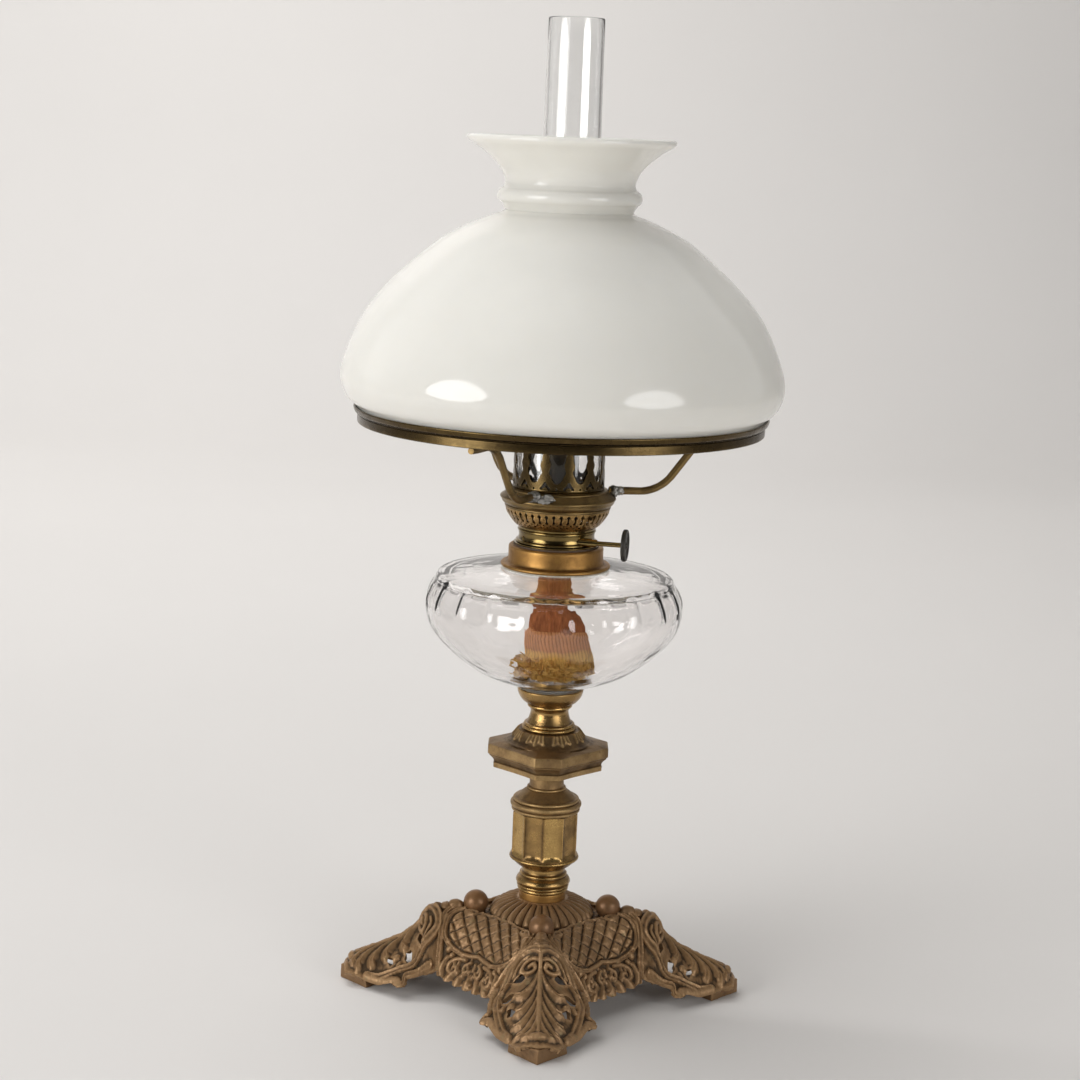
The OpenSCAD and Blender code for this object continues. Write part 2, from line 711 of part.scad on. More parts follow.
module font() {
    r = font_d / 2;
    top = font_z - shoulder_drop;
    side = curve([[peg_r(lip_z + 1), lip_z + 1], [23.4, lip_z + 3.1], [36, lip_z + 7.4],
        [r - 28.2, lip_z + 13.6], [r - 12.7, lip_z + 25.9], [r - 3, lip_z + 38.2], [r, lip_z + 52.2],
        [r - 2.2, top - 8.4], [shoulder_d / 2 + 1.2, top - 2.2]], 5);
    floor_z = lip_z + 3.1 + font_wall;
    inside = beside([for (p = side) if (p[0] > 23) p], font_wall);
    color("#e4dedb", 0.35)
        difference() {
            turned(concat(
                [[0, peg_z], [peg_r(peg_z), peg_z]],
                side,
                arc(shoulder_d / 2 - 1, top - 0.8, 1.6, -30, 100, 6),
                [[shoulder_d / 2 - 3, top + 0.2], [flange_d / 2 + 1.5, font_z], [mouth_d / 2, font_z],
                    [mouth_d / 2, font_z + mouth_h], [mouth_bore / 2, font_z + mouth_h],
                    [mouth_bore / 2, font_z - font_wall], [shoulder_d / 2 - 5, top - font_wall]],
                backwards([for (p = inside) if (p[1] < top - font_wall - 1 && p[0] > 24) p]),
                [[20, floor_z - 0.6], [0, floor_z - 1]]));
            for (i = [0 : scoops - 1])
                rotate([0, 0, -90 + 360 / scoops * (i + 0.8)])
                    translate([r - 1.3 - scoop_depth, 0, top - 9.4])
                        rotate([0, -18, 0])
                            translate([scoop_r, 0, 0])
                                sphere(r = scoop_r);
        }
}

module collar_plaster() {
    r = screw_d / 2 - screw_wall;
    color("#e3ddcd")
        turned([[mouth_d / 2, font_z], [flange_d / 2 - 0.6, font_z], [flange_d / 2 - 0.6, flange_z],
            [r, flange_z], [r, font_z + mouth_h - 1], [mouth_d / 2, font_z + mouth_h - 1]]);
}

module font_collar() {
    r = screw_d / 2;
    b = screw_bore / 2;
    color("#c98f3a")
        turned(concat(
            [[r - screw_wall, flange_z], [flange_d / 2, flange_z]],
            arc(flange_d / 2 - flange_t / 2, flange_z + flange_t / 2, flange_t / 2, -60, 90, 6),
            [[r, flange_z + flange_t], [r, screw_z - 1.6]],
            arc(r - 1.6, screw_z - 1.6, 1.6, 0, 90, 5),
            [[b, screw_z], [b, flange_z + 1], [b + screw_wall, flange_z + 1],
                [b + screw_wall, screw_z - 1.6], [r - screw_wall, screw_z - 1.6]]));
}

// Burner

module burner_washer() {
    color("#5a4632")
        translate([0, 0, screw_z])
            difference() {
                cylinder(d = screw_bore + 7, h = seal_t);
                translate([0, 0, -cut])
                    cylinder(d = screw_bore, h = seal_t + 2 * cut);
            }
}

// Along the spindle: x runs out to the knob, z stays up
module on_spindle() {
    rotate([0, 0, spindle_turn])
        translate([0, -spindle_off, spindle_z])
            children();
}

module burner_neck() {
    r = polish_d / 2;
    p = screw_bore / 2 - free_gap;
    color("#cda44f")
        difference() {
            turned(concat(
                [[p - sheet, burner_z - plug_h], [p, burner_z - plug_h], [p, burner_z], [r + 2.2, burner_z],
                    [r + 2.2, burner_z + 0.8]],
                arc(r + 0.2, burner_z + 1.8, 0.8, -60, 80, 5),
                [[r - 0.2, burner_z + 3], [r - 0.2, deck_z - 3]],
                arc(r - 0.6, deck_z - 2, 0.8, -60, 70, 6),
                [[r, deck_z - 0.8], [r, deck_z], [tube_d / 2, deck_z], [tube_d / 2, deck_z - sheet],
                    [r - 0.2 - sheet, deck_z - sheet], [r - 0.2 - sheet, burner_z + 2.4],
                    [p - sheet, burner_z + 1]]));
            on_spindle()
                rotate([0, 90, 0])
                    cylinder(d = sleeve_d, h = polish_d);
            on_spindle()
                rotate([0, -90, 0])
                    cylinder(d = spindle_d + 2 * run_gap, h = polish_d);
        }
}

module air_basket() {
    a = polish_d / 2;
    b = basket_d / 2;
    outer = curve([[a, deck_z], [a + 3, deck_z + 2.4], [b - 1.2, deck_z + 7.8], [b, deck_z + basket_h]], 4);
    color("#b98f4a")
        difference() {
            turned(concat(outer, backwards(beside(outer, sheet * 0.9))));
            translate([0, 0, bulge_z])
                cylinder(d = basket_d + 2, h = sheet);
            for (i = [0 : slots - 1])
                rotate([0, 0, 360 / slots * i])
                    translate([b - 6, -slot_w / 2, deck_z + basket_h - slot_h - 1.2])
                        cube([10, slot_w, slot_h]);
        }
}

// Outer line of the bulged band
function band_line() = curve([[basket_d / 2 - 0.6, bulge_z], [basket_d / 2 + 1.2, bulge_z + 1.8],
    [band_d / 2 - 0.4, bulge_z + 4.4], [band_d / 2, bulge_z + 6.4], [band_d / 2 - 2.4, bulge_z + 9.4],
    [crown_d / 2 + 0.4, seat_z]], 5);

module burner_band() {
    outer = band_line();
    color("#b98f4a")
        turned(concat(outer, [[foot_tube_d / 2 - 5, seat_z], [foot_tube_d / 2 - 5, seat_z - sheet],
            [crown_d / 2 - 1.6, seat_z - sheet]],
            backwards([for (p = beside(outer, sheet)) if (p[1] < seat_z - 1.8 && p[1] > bulge_z + 0.2) p]),
            [[basket_d / 2 - 0.6 - sheet, bulge_z]]));
}

module chimney_gallery() {
    r = crown_d / 2;
    a = foot_tube_d / 2 + free_gap + 0.2;
    step = 360 / arches;
    color("#bd9450")
        difference() {
            translate([0, 0, seat_z])
                difference() {
                    cylinder(r = r, h = crown_h);
                    translate([0, 0, -cut])
                        cylinder(r = a, h = crown_h + 2 * cut);
                }
            for (i = [0 : arches - 1])
                rotate([0, 0, -90 + step * i]) {
                    translate([a - 3, -arch_w / 2, seat_z + arch_foot + arch_w / 2])
                        cube([6, arch_w, crown_h]);
                    translate([a - 3, 0, seat_z + arch_foot + arch_w / 2])
                        rotate([0, 90, 0])
                            cylinder(d = arch_w, h = 6);
                    translate([a - 3, 0, seat_z + 6])
                        rotate([0, 90, 0])
                            cylinder(d = 2.2, h = 6, $fn = 24);
                    rotate([0, 0, step / 2])
                        for (s = [-1, 1])
                            translate([a - 3, s * 1.7, seat_z + 6])
                                rotate([s * 16, 0, 0])
                                    translate([0, -0.7, -3])
                                        cube([6, 1.4, 6]);
                }
        }
}

module outer_tube() {
    color("#a9823f")
        translate([0, 0, deck_z - sheet])
            difference() {
                cylinder(d = tube_d, h = tube_top - deck_z + sheet);
                translate([0, 0, -cut])
                    cylinder(d = tube_bore, h = tube_top - deck_z + sheet + 2 * cut);
            }
}

module draught_tube() {
    h = tube_top - deck_z - 3;
    color("#8f7040")
        translate([0, 0, deck_z + 2])
            difference() {
                union() {
                    cylinder(d = draught_d, h = h);
                    intersection() {
                        translate([-2.5, 0, 2])
                            cube([5, tube_d, h - 12]);
                        cylinder(d = tube_bore, h = h);
                    }
                }
                translate([0, 0, -cut])
                    cylinder(d = draught_d - 2 * tube_wall, h = h + 2 * cut);
            }
}

module spindle_sleeve() {
    inner = sqrt(pow(polish_d / 2 - 4, 2) - spindle_off * spindle_off);
    color("#b08642")
        on_spindle()
            translate([inner, 0, 0])
                rotate([0, 90, 0])
                    difference() {
                        union() {
                            cylinder(d = sleeve_d, h = sleeve_out - inner - 3);
                            cylinder(d = sleeve_d - 0.8, h = sleeve_out - inner);
                        }
                        translate([0, 0, -cut])
                            cylinder(d = spindle_d + 2 * run_gap, h = sleeve_out);
                    }
}

// Solid under the band's outer line, to shape what is soldered on it
module band_body() {
    turned(concat([[0, bulge_z]], band_line(), [[0, seat_z]]));
}

// Middle line of an arm along +X, as [x, z]: level, up between two bends, level under the ring
function arm_path() =
    let (low = seat_z - arm_low, high = ring_z - arm_d / 2 + 0.5, b = arm_bend,
        rise = high - low - 2 * b * (1 - cos(arm_slope)),
        far = arm_foot_r + 2 * b * sin(arm_slope) + rise / tan(arm_slope))
    concat([[crown_d / 2 - 1, low]],
        arc(arm_foot_r, low + b, b, -90, arm_slope - 90, 6),
        arc(far, high - b, b, arm_slope + 90, 90, 6),
        [[arm_end_r, high]]);

module arm_rod() {
    p = arm_path();
    loops([for (i = [0 : len(p) - 1])
        let (t = p[min(i + 1, len(p) - 1)] - p[max(i - 1, 0)], n = [-t[1], t[0]] / norm(t))
        [for (a = [0 : 15])
            let (u = arm_d / 2 * cos(a * 22.5), v = arm_d / 2 * sin(a * 22.5))
            [p[i][0] + u * n[0], v, p[i][1] + u * n[1]]]]);
}

module shade_arms() {
    color("#b98f4a")
        for (a = arm_turns)
            rotate([0, 0, a])
                difference() {
                    arm_rod();
                    band_body();
                    translate([0, 0, seat_z - 3])
                        cylinder(r = crown_d / 2 + 0.4, h = crown_h);
                    translate([0, -arm_d, ring_z])
                        cube([2 * arm_end_r, 2 * arm_d, arm_d]);
                }
}

module solder_joints() {
    low = seat_z - arm_low;
    root = crown_d / 2 + 1;
    color("#8d8a80")
        for (a = arm_turns)
            rotate([0, 0, a])
                difference() {
                    translate([root, 0, low])
                        rotate([0, 90, 0])
                            cylinder(d1 = arm_d + 5, d2 = arm_d + 1.4, h = 7);
                    translate([root - cut, 0, low])
                        rotate([0, 90, 0])
                            cylinder(d = arm_d, h = 7 + 2 * cut);
                    band_body();
                }
}

module shade_ring() {
    r = ring_d / 2;
    t = ring_t;
    h = ring_z + ring_band_h;
    top = h + ring_lip_h;
    lip = curve([[r, h], [r + ring_lip * 0.75, h + ring_lip_h * 0.28],
        [r + ring_lip, top - ring_lip_h * 0.4], [r + ring_lip - 0.5, top]], 4);
    color("#b98f4a")
        turned(concat(
            [[ring_bore / 2, ring_z], [r, ring_z], [r, h - 0.4]],
            lip,
            backwards(beside(lip, t)),
            [[r - t, h - 0.4], [r - t, ring_z + t], [ring_bore / 2, ring_z + t]]));
}

// Wick works

module wick_spindle() {
    inner = sqrt(pow(polish_d / 2 - 0.6, 2) - spindle_off * spindle_off);
    color("#9a8656")
        on_spindle()
            translate([-inner, 0, 0])
                rotate([0, 90, 0])
                    cylinder(d = spindle_d, h = inner + knob_out - knob_t / 2);
}

module wick_cogs() {
    color("#9a8656")
        on_spindle()
            for (s = [-1, 1])
                translate([s * cog_off - cog_t / 2, 0, 0])
                    rotate([0, 90, 0])
                        linear_extrude(height = cog_t)
                            difference() {
                                polygon([for (i = [0 : 4 * teeth - 1])
                                    let (q = i % 4 < 2 ? cog_r : cog_r - 0.7, a = 90 / teeth * i)
                                    [q * cos(a), q * sin(a)]]);
                                circle(d = spindle_d, $fn = 32);
                            }
}

module wick_knob() {
    r = knob_disc_d / 2;
    color("#54473a")
        on_spindle()
            translate([knob_out - knob_t / 2, 0, 0])
                rotate([0, 90, 0])
                    turned(concat(
                        [[0, 0], [r - 0.8, 0]],
                        arc(r - 0.8, 0.8, 0.8, -90, 0, 5),
                        arc(r - 0.8, knob_t - 0.8, 0.8, 0, 90, 5),
                        [[r - 1.6, knob_t - 0.1], [r - 2.2, knob_t - 0.7], [2.4, knob_t - 0.4],
                            [0, knob_t - 0.4]]));
}

module knob_rivet() {
    color("#6b5a45")
        on_spindle()
            translate([knob_out + knob_t / 2 - 0.4, 0, 0])
                rotate([0, 90, 0])
                    turned(concat([[0, 0]], [[1.7, 0]], arc(0.7, 0, 1, 0, 90, 5), [[0, 1]]));
}

// Section of the wick at height z: an open curve of radius r about [x, 0]
function wick_row(z, r, x) =
    let (half = (180 - wick_open / 2) * wick_r / r, n = 16,
        outer = [for (i = [0 : n]) let (a = -90 - half + 2 * half * i / n)
            [x + (r + wick_t / 2) * cos(a), (r + wick_t / 2) * sin(a) + r - wick_r, z]],
        inner = [for (i = [n : -1 : 0]) let (a = -90 - half + 2 * half * i / n)
            [x + (r - wick_t / 2) * cos(a), (r - wick_t / 2) * sin(a) + r - wick_r, z]])
    concat(outer, inner);

module wick() {
    low = lip_z + 15;
    bend = font_z - 16;
    color("#9c6a45")
        loops(concat(
            [wick_row(tube_top - wick_low, wick_r, 0)],
            [for (i = [10 : -1 : 0]) let (t = i / 10)
                wick_row(low + (bend - low) * t, bez(tail_r, tail_r - 2, wick_r + 4, wick_r, t),
                    tail_shift * pow(1 - t, 2))]));
}

// Glass that lifts off

module chimney() {
    f = foot_tube_d / 2;
    m = chimney_top_d / 2;
    outer = concat(
        [[f, 0]],
        curve([[f, foot_tube_h - 4], [f - 0.3, foot_tube_h], [f - 3.4, foot_tube_h + 5.6],
            [pinch_d / 2 + 1.6, pinch_up - 4.5], [pinch_d / 2, pinch_up],
            [tall_tube_d / 2 - 0.3, pinch_up + 6], [tall_tube_d / 2, pinch_up + 14]], 5),
        [[m, chimney_h - 0.6], [m - 0.5, chimney_h]]);
    color("#f2f4f4", 0.25)
        translate([0, 0, seat_z])
            turned(concat(outer, [[m - chimney_wall, chimney_h]],
                backwards([for (p = beside(outer, chimney_wall)) if (p[1] < chimney_h - 1) p])));
}

module shade() {
    e = shade_edge_d / 2;
    b = shade_d / 2;
    n = shade_neck_d / 2;
    k = shade_neck_h;
    m = shade_rim_d / 2;
    // The foot that stands in the ring is straight and keeps clear of its lip
    foot_h = ring_band_h + ring_lip_h - ring_t + 0.8;
    foot = e + ring_lip + 1.6;
    low = shade_belly_h - foot_h;
    high = k - shade_belly_h;
    outer = concat(
        [[e, 0]],
        curve([[foot, foot_h], [foot + 0.68 * (b - foot), foot_h + low / 3], [b, shade_belly_h],
            for (q = [[0.057, 0.193], [0.171, 0.406], [0.334, 0.588], [0.565, 0.785], [0.705, 0.875],
                [0.882, 0.954], [0.966, 0.983], [1, 1]])
                [b - q[0] * (b - n), shade_belly_h + q[1] * high]], 5),
        arc(shade_bead_d / 2 - 4.6, k + 8.4, 4.6, -55, 65, 8),
        curve([[n + 0.6, k + 15.5], [n + 1.6, k + 19.6], [n + 5, k + 25.2],
            [m - 10, shade_h - 9.4], [m - 2, shade_h - 3.6]], 5),
        arc(m - 1.4, shade_h - 2.2, 1.4, -40, 60, 5));
    color("#f4efe6")
        translate([0, 0, shade_z])
            turned(concat([[e - shade_wall, 0]], outer,
                [[m - 2.2, shade_h - 0.6]],
                backwards([for (p = beside(outer, shade_wall)) if (p[1] > 1 && p[1] < shade_h - 3) p])));
}

base_casting();
corner_balls();
base_collar();
lower_knop();
column_drum();
column_cap();
square_plate();
font_cup();
tie_rod();
tie_nut();
tie_washer();
cup_nut();
cup_plaster();
font();
collar_plaster();
font_collar();
burner_washer();
burner_neck();
air_basket();
burner_band();
chimney_gallery();
outer_tube();
draught_tube();
spindle_sleeve();
shade_arms();
solder_joints();
shade_ring();
wick_spindle();
wick_cogs();
wick_knob();
knob_rivet();
wick();
chimney();
shade();
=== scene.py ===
"""Looks of a kerosene table lamp: cast base, turned stem, glass font, pierced burner, chimney and shade."""

import math

import bpy
import numpy as np
from bpy.props import FloatProperty, FloatVectorProperty, IntProperty, PointerProperty
from mathutils import Matrix, Vector


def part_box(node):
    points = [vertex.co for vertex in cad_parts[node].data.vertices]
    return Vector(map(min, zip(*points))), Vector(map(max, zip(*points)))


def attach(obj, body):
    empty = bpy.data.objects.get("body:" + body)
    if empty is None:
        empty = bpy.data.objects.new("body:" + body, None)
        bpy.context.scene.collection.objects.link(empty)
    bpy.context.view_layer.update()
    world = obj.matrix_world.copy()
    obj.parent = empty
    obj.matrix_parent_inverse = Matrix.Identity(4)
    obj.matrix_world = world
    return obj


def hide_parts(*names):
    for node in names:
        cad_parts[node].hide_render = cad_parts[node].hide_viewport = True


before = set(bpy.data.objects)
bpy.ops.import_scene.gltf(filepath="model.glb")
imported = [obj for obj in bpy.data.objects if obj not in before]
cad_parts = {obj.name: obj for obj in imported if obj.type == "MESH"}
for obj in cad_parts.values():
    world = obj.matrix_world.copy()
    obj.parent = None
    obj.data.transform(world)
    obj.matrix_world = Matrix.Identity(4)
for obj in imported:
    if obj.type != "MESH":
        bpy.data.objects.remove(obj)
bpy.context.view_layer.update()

bl_info = {
    "name": "Kerosene table lamp",
    "version": (1, 0, 0),
    "blender": (4, 5, 0),
    "location": "3D View > Sidebar > Lamp",
    "description": "Builds the looks of a kerosene table lamp round its CAD frame",
    "category": "Object",
}

MM = 0.001
FULL_TURN = 2 * math.pi


# Sizes and colours that a user would change


def count_property(name, description, default, low, high):
    return IntProperty(name=name, description=description, default=default, min=low, max=high)


def length_property(name, description, default):
    return FloatProperty(
        name=name, description=description, default=default, unit="LENGTH", subtype="DISTANCE")


def colour_property(name, description, *default):
    return FloatVectorProperty(name=name, description=description, subtype="COLOR", default=default)


class LampSizes(bpy.types.PropertyGroup):
    """Counts and reliefs of the lamp's ornament"""

    flutes: count_property("Drum flutes", "Hollow flutes round the drum", 10, 6, 16)
    flute_depth: length_property("Flute depth", "Depth of a flute", 0.0018)
    panels: count_property("Font panels", "Pressed panels round the font", 21, 8, 32)
    panel_depth: length_property("Panel depth", "Depth of a pressed panel", 0.0012)
    gadroons: count_property("Gadroons", "Ribs of the base's dome", 32, 16, 48)
    gadroon_height: length_property("Gadroon height", "Height of a rib", 0.0019)
    relief: FloatProperty(
        name="Casting relief", description="Height of the base's ornament, 1 as cast", default=1.0, min=0.2,
        max=1.5, subtype="FACTOR")
    arches: count_property("Crown arches", "Arches round the burner's crown", 12, 8, 16)
    slots: count_property("Basket slots", "Slots round the air basket", 44, 24, 60)
    wick_ribs: count_property("Wick ribs", "Ribs woven into the wick", 22, 8, 32)


class LampColours(bpy.types.PropertyGroup):
    """Colours of the lamp's finishes"""

    bronze: colour_property("Bronze", "Brown bronze of the base", 0.25, 0.143, 0.065)
    gilding: colour_property("Gilding", "Gilt brass of the stem", 0.36, 0.222, 0.082)
    # Set darker than the brass's own aged tone, as painted shade for the burner under the shade.
    brass: colour_property("Brass", "Aged brass of the burner and ring", 0.085, 0.057, 0.023)
    opal: colour_property("Opal", "White opal glass", 0.74, 0.722, 0.668)
    cotton: colour_property("Cotton", "Oil-stained wick", 0.36, 0.118, 0.042)
    backdrop: colour_property("Backdrop", "Pale paper floor", 0.66, 0.638, 0.616)


def sizes():
    return bpy.context.scene.lamp_sizes


def scaled(colour, by):
    return tuple(min(1.0, c * by) for c in colour)


def picked(name, by=1.0):
    """One of the lamp's own colours, made lighter or darker."""
    return scaled(tuple(getattr(bpy.context.scene.lamp_colours, name)), by)


# Lines and distances, in millimetres


def smooth_line(points, steps=6):
    """A curve through the points, with that many steps to a span."""
    p = np.array(points, float)
    ends = np.vstack([p[:1], p, p[-1:]])
    t = np.arange(steps)[:, None] / steps
    spans = []
    for a, b, c, d in zip(ends, ends[1:], ends[2:], ends[3:]):
        square, cube = 2 * a - 5 * b + 4 * c - d, 3 * b - a - 3 * c + d
        spans.append((2 * b + (c - a) * t + square * t**2 + cube * t**3) / 2)
    return [tuple(q) for q in np.vstack(spans + [p[-1:]])]


def bead(r, z, radius, start, end, steps=8):
    """An arc about (r, z) between two angles in degrees, 0 outwards and 90 up."""
    angles = np.radians(np.linspace(start, end, steps + 1))
    return [(r + radius * math.cos(a), z + radius * math.sin(a)) for a in angles]


def inset(line, depth):
    """The line moved to the left of its direction."""
    p = np.array(line, float)
    t = np.gradient(p, axis=0)
    t /= np.maximum(np.linalg.norm(t, axis=1), 1e-9)[:, None]
    return [tuple(q) for q in p + depth * np.stack([-t[:, 1], t[:, 0]], 1)]


def nearest(points, line, values=None):
    """Distance of points from a line, and the line's values where they are nearest."""
    p, best = np.asarray(points, float), np.full(len(points), 1e9)
    values = np.zeros((len(line), 1)) if values is None else np.asarray(values, float)
    found = np.zeros((len(p), values.shape[1]))
    for i in range(len(line) - 1):
        a, b = np.array(line[i], float), np.array(line[i + 1], float)
        d = b - a
        t = np.clip(((p - a) @ d) / max(d @ d, 1e-9), 0, 1)
        far = np.linalg.norm(p - a - t[:, None] * d, axis=1)
        closer = far < best
        best[closer] = far[closer]
        found[closer] = (values[i] + (values[i + 1] - values[i]) * t[:, None])[closer]
    return best, found


def inside_polygon(points, corners):
    """How far points lie inside a closed polygon, negative outside."""
    p, q = np.asarray(points, float), np.asarray(corners, float)
    far, _ = nearest(p, np.vstack([q, q[:1]]))
    odd = np.zeros(len(p), bool)
    for a, b in zip(q, np.roll(q, -1, axis=0)):
        crosses = (a[1] > p[:, 1]) != (b[1] > p[:, 1])
        slope = (b[0] - a[0]) / (b[1] - a[1]) if a[1] != b[1] else 0.0
        odd ^= crosses & (p[:, 0] < a[0] + (p[:, 1] - a[1]) * slope)
    return np.where(odd, far, -far)


def polar(points):
    """Radius and turn of points about the upright axis."""
    return np.hypot(points[:, 0], points[:, 1]), np.arctan2(points[:, 1], points[:, 0])


def push_out(points, by):
    """Moves points outwards from the upright axis."""
    points[:, :2] *= (1 + by / np.maximum(polar(points)[0], 1e-6))[:, None]


def run_along(line):
    """Length along a line up to each of its points."""
    return np.r_[0, np.cumsum(np.linalg.norm(np.diff(line, axis=0), axis=1))]


def ease(x, low, high):
    """0 below low, 1 above high, smooth between."""
    t = np.clip((np.asarray(x, float) - low) / (high - low), 0, 1)
    return t * t * (3 - 2 * t)


def fade(x, rise, fall):
    """1 between the two ranges, 0 outside them."""
    return ease(x, *rise) * (1 - ease(x, *fall))


def round_back(q):
    """A half-round section."""
    return np.sqrt(np.clip(1 - q * q, 0, 1))


def soft_back(q):
    """A low swelling section that runs out into the ground."""
    return (1 - q * q) * (1 - 0.35 * q * q)


def grooved_band(q):
    """A raised band with a hollow along its middle."""
    return np.where(q < 1, ease(1 - q, 0, 0.35) * (0.62 + 0.38 * ease(q, 0.1, 0.6)), 0)


def relief_of(points, strokes):
    """Height of the highest stroke at each point. A stroke is (line, half widths, heights, section)."""
    high = np.zeros(len(points))
    for line, widths, heights, section in strokes:
        line = smooth_line(line, 4) if len(line) > 2 else list(line)
        t = np.linspace(0, 1, len(line))
        values = np.stack([np.interp(t, np.linspace(0, 1, len(widths)), widths),
                           np.interp(t, np.linspace(0, 1, len(heights)), heights)], 1)
        near = (points[:, 0] > min(p[0] for p in line) - 8) & (points[:, 0] < max(p[0] for p in line) + 8)
        near &= (points[:, 1] > min(p[1] for p in line) - 8) & (points[:, 1] < max(p[1] for p in line) + 8)
        if near.any():
            far, found = nearest(points[near], line, values)
            high[near] = np.maximum(high[near], found[:, 1] * section(np.clip(far / found[:, 0], 0, 1)))
    return high


# Work on one piece


def let_go():
    if bpy.context.object is not None and bpy.context.object.mode != "OBJECT":
        bpy.ops.object.mode_set(mode="OBJECT")
    bpy.ops.object.select_all(action="DESELECT")


def take(*pieces):
    """Selects these pieces alone; the first is the active one."""
    let_go()
    for piece in pieces:
        piece.select_set(True)
    bpy.context.view_layer.objects.active = pieces[0]
    return pieces[0]


def named(name, piece=None):
    """Names a piece and its mesh; the active one unless another is given."""
    piece = piece or bpy.context.object
    piece.name = piece.data.name = name
    return piece


def edit_all():
    """Into edit mode, with the whole piece selected."""
    bpy.ops.object.mode_set(mode="EDIT")
    bpy.ops.mesh.select_all(action="SELECT")


def close_up():
    """Merges what lies together, points the faces outwards and leaves edit mode."""
    edit_all()
    bpy.ops.mesh.remove_doubles(threshold=2e-6)
    bpy.ops.mesh.normals_make_consistent(inside=False)
    bpy.ops.object.mode_set(mode="OBJECT")


def smooth(piece, angle=40):
    take(piece)
    bpy.ops.object.shade_smooth_by_angle(angle=math.radians(angle))
    return piece


def modify(piece, kind, **values):
    """Adds a modifier with these values and applies it."""
    take(piece)
    bpy.ops.object.modifier_add(type=kind)
    modifier = piece.modifiers[-1]
    for key, value in values.items():
        setattr(modifier, key, value)
    bpy.ops.object.modifier_apply(modifier=modifier.name)
    return piece


def thicken(piece, wall, offset=-1.0):
    """Gives a sheet its wall, in mm, behind its face."""
    return modify(piece, "SOLIDIFY", thickness=wall * MM, offset=offset, use_even_offset=False)


def read(items, what, width=1, kind=np.int32):
    """One property of all the items of a mesh, a row for each."""
    values = np.empty(len(items) * width, kind)
    items.foreach_get(what, values)
    return values.reshape(-1, width)


def corners_of(piece):
    """The piece's points, in mm."""
    return read(piece.data.vertices, "co", 3, np.float32).astype(float) / MM


def shape(piece, points):
    """Moves the piece's points to these places, in mm."""
    piece.data.vertices.foreach_set("co", (np.asarray(points) * MM).astype(np.float32).ravel())
    piece.data.update()
    return piece


def turned(name, line, steps=128, angle=40, closed=True):
    """A turned piece: a point is drawn along the line of (radius, height) and spun about the upright axis."""
    let_go()
    line = list(line) + ([line[0]] if closed else [])
    bpy.ops.mesh.primitive_plane_add(size=MM)
    piece = named(name)
    bpy.ops.object.mode_set(mode="EDIT")
    bpy.ops.mesh.merge(type="CENTER")
    bpy.ops.transform.translate(value=(line[0][0] * MM, 0, line[0][1] * MM))
    for (r0, z0), (r1, z1) in zip(line, line[1:]):
        step = ((r1 - r0) * MM, 0, (z1 - z0) * MM)
        bpy.ops.mesh.extrude_region_move(TRANSFORM_OT_translate={"value": step})
    bpy.ops.mesh.select_all(action="SELECT")
    bpy.ops.mesh.spin(steps=steps, angle=FULL_TURN, center=(0, 0, 0), axis=(0, 0, 1), use_auto_merge=True)
    close_up()
    mark_turned_hollows(piece, line)
    return smooth(piece, angle)


def bar(name, points, radii, sides=6):
    """A round bar along the points, in mm, made from a path with a bevel."""
    let_go()
    bpy.ops.curve.primitive_nurbs_path_add()
    piece = named(name)
    curve = piece.data
    curve.splines.clear()
    spline = curve.splines.new("POLY")
    spline.points.add(len(points) - 1)
    for point, place, radius in zip(spline.points, points, radii):
        point.co = (*(np.asarray(place) * MM), 1)
        point.radius = radius * MM
    curve.dimensions = "3D"
    curve.bevel_depth = 1.0
    curve.bevel_resolution = sides
    curve.use_fill_caps = True
    bpy.ops.object.convert(target="MESH")
    piece = named(name)
    close_up()
    return smooth(piece, 60)


def pierced(name, columns, rows, cell, keep, place):
    """A sheet cut from a fine grid. keep(points) is how far points lie inside the metal, place(points) lays it
    in space. Points are in mm on the flat sheet, from 0 to columns and rows cells."""
    let_go()
    bpy.ops.mesh.primitive_grid_add(x_subdivisions=columns, y_subdivisions=rows, size=2)
    piece = named(name)
    mesh = piece.data
    flat = corners_of(piece)[:, :2] * MM
    flat = (flat + 1) / 2 * np.array([columns * cell, rows * cell])
    middle = flat[read(mesh.polygons, "vertices", 4)].mean(1)
    shape(piece, np.column_stack([flat, np.zeros(len(flat))]))
    bpy.context.tool_settings.mesh_select_mode = (False, False, True)
    mesh.polygons.foreach_set("select", keep(middle) <= 0)
    bpy.ops.object.mode_set(mode="EDIT")
    bpy.ops.mesh.delete(type="FACE")
    bpy.ops.object.mode_set(mode="OBJECT")
    bpy.context.tool_settings.mesh_select_mode = (True, False, False)
    flat = corners_of(piece)[:, :2]
    uses = np.bincount(read(mesh.loops, "edge_index")[:, 0], minlength=len(mesh.edges))
    border = np.unique(read(mesh.edges, "vertices", 2)[uses == 1])
    for _ in range(2):
        p = flat[border]
        depth = keep(p)
        h = cell * 0.2
        slope = np.stack([keep(p + d) - keep(p - d) for d in ([h, 0], [0, h])], 1) / (2 * h)
        step = -(depth / np.maximum((slope**2).sum(1), 0.2))[:, None] * slope
        far = np.linalg.norm(step, axis=1)
        step *= np.where(far < 1.2 * cell, 1, 0)[:, None]
        flat[border] = p + step
    flat[:, 0] = np.clip(flat[:, 0], 0, columns * cell)
    flat[:, 1] = np.clip(flat[:, 1], 0, rows * cell)
    shape(piece, place(flat))
    take(piece)
    edit_all()
    bpy.ops.mesh.remove_doubles(threshold=cell * 0.12 * MM)
    bpy.ops.object.mode_set(mode="OBJECT")
    return piece


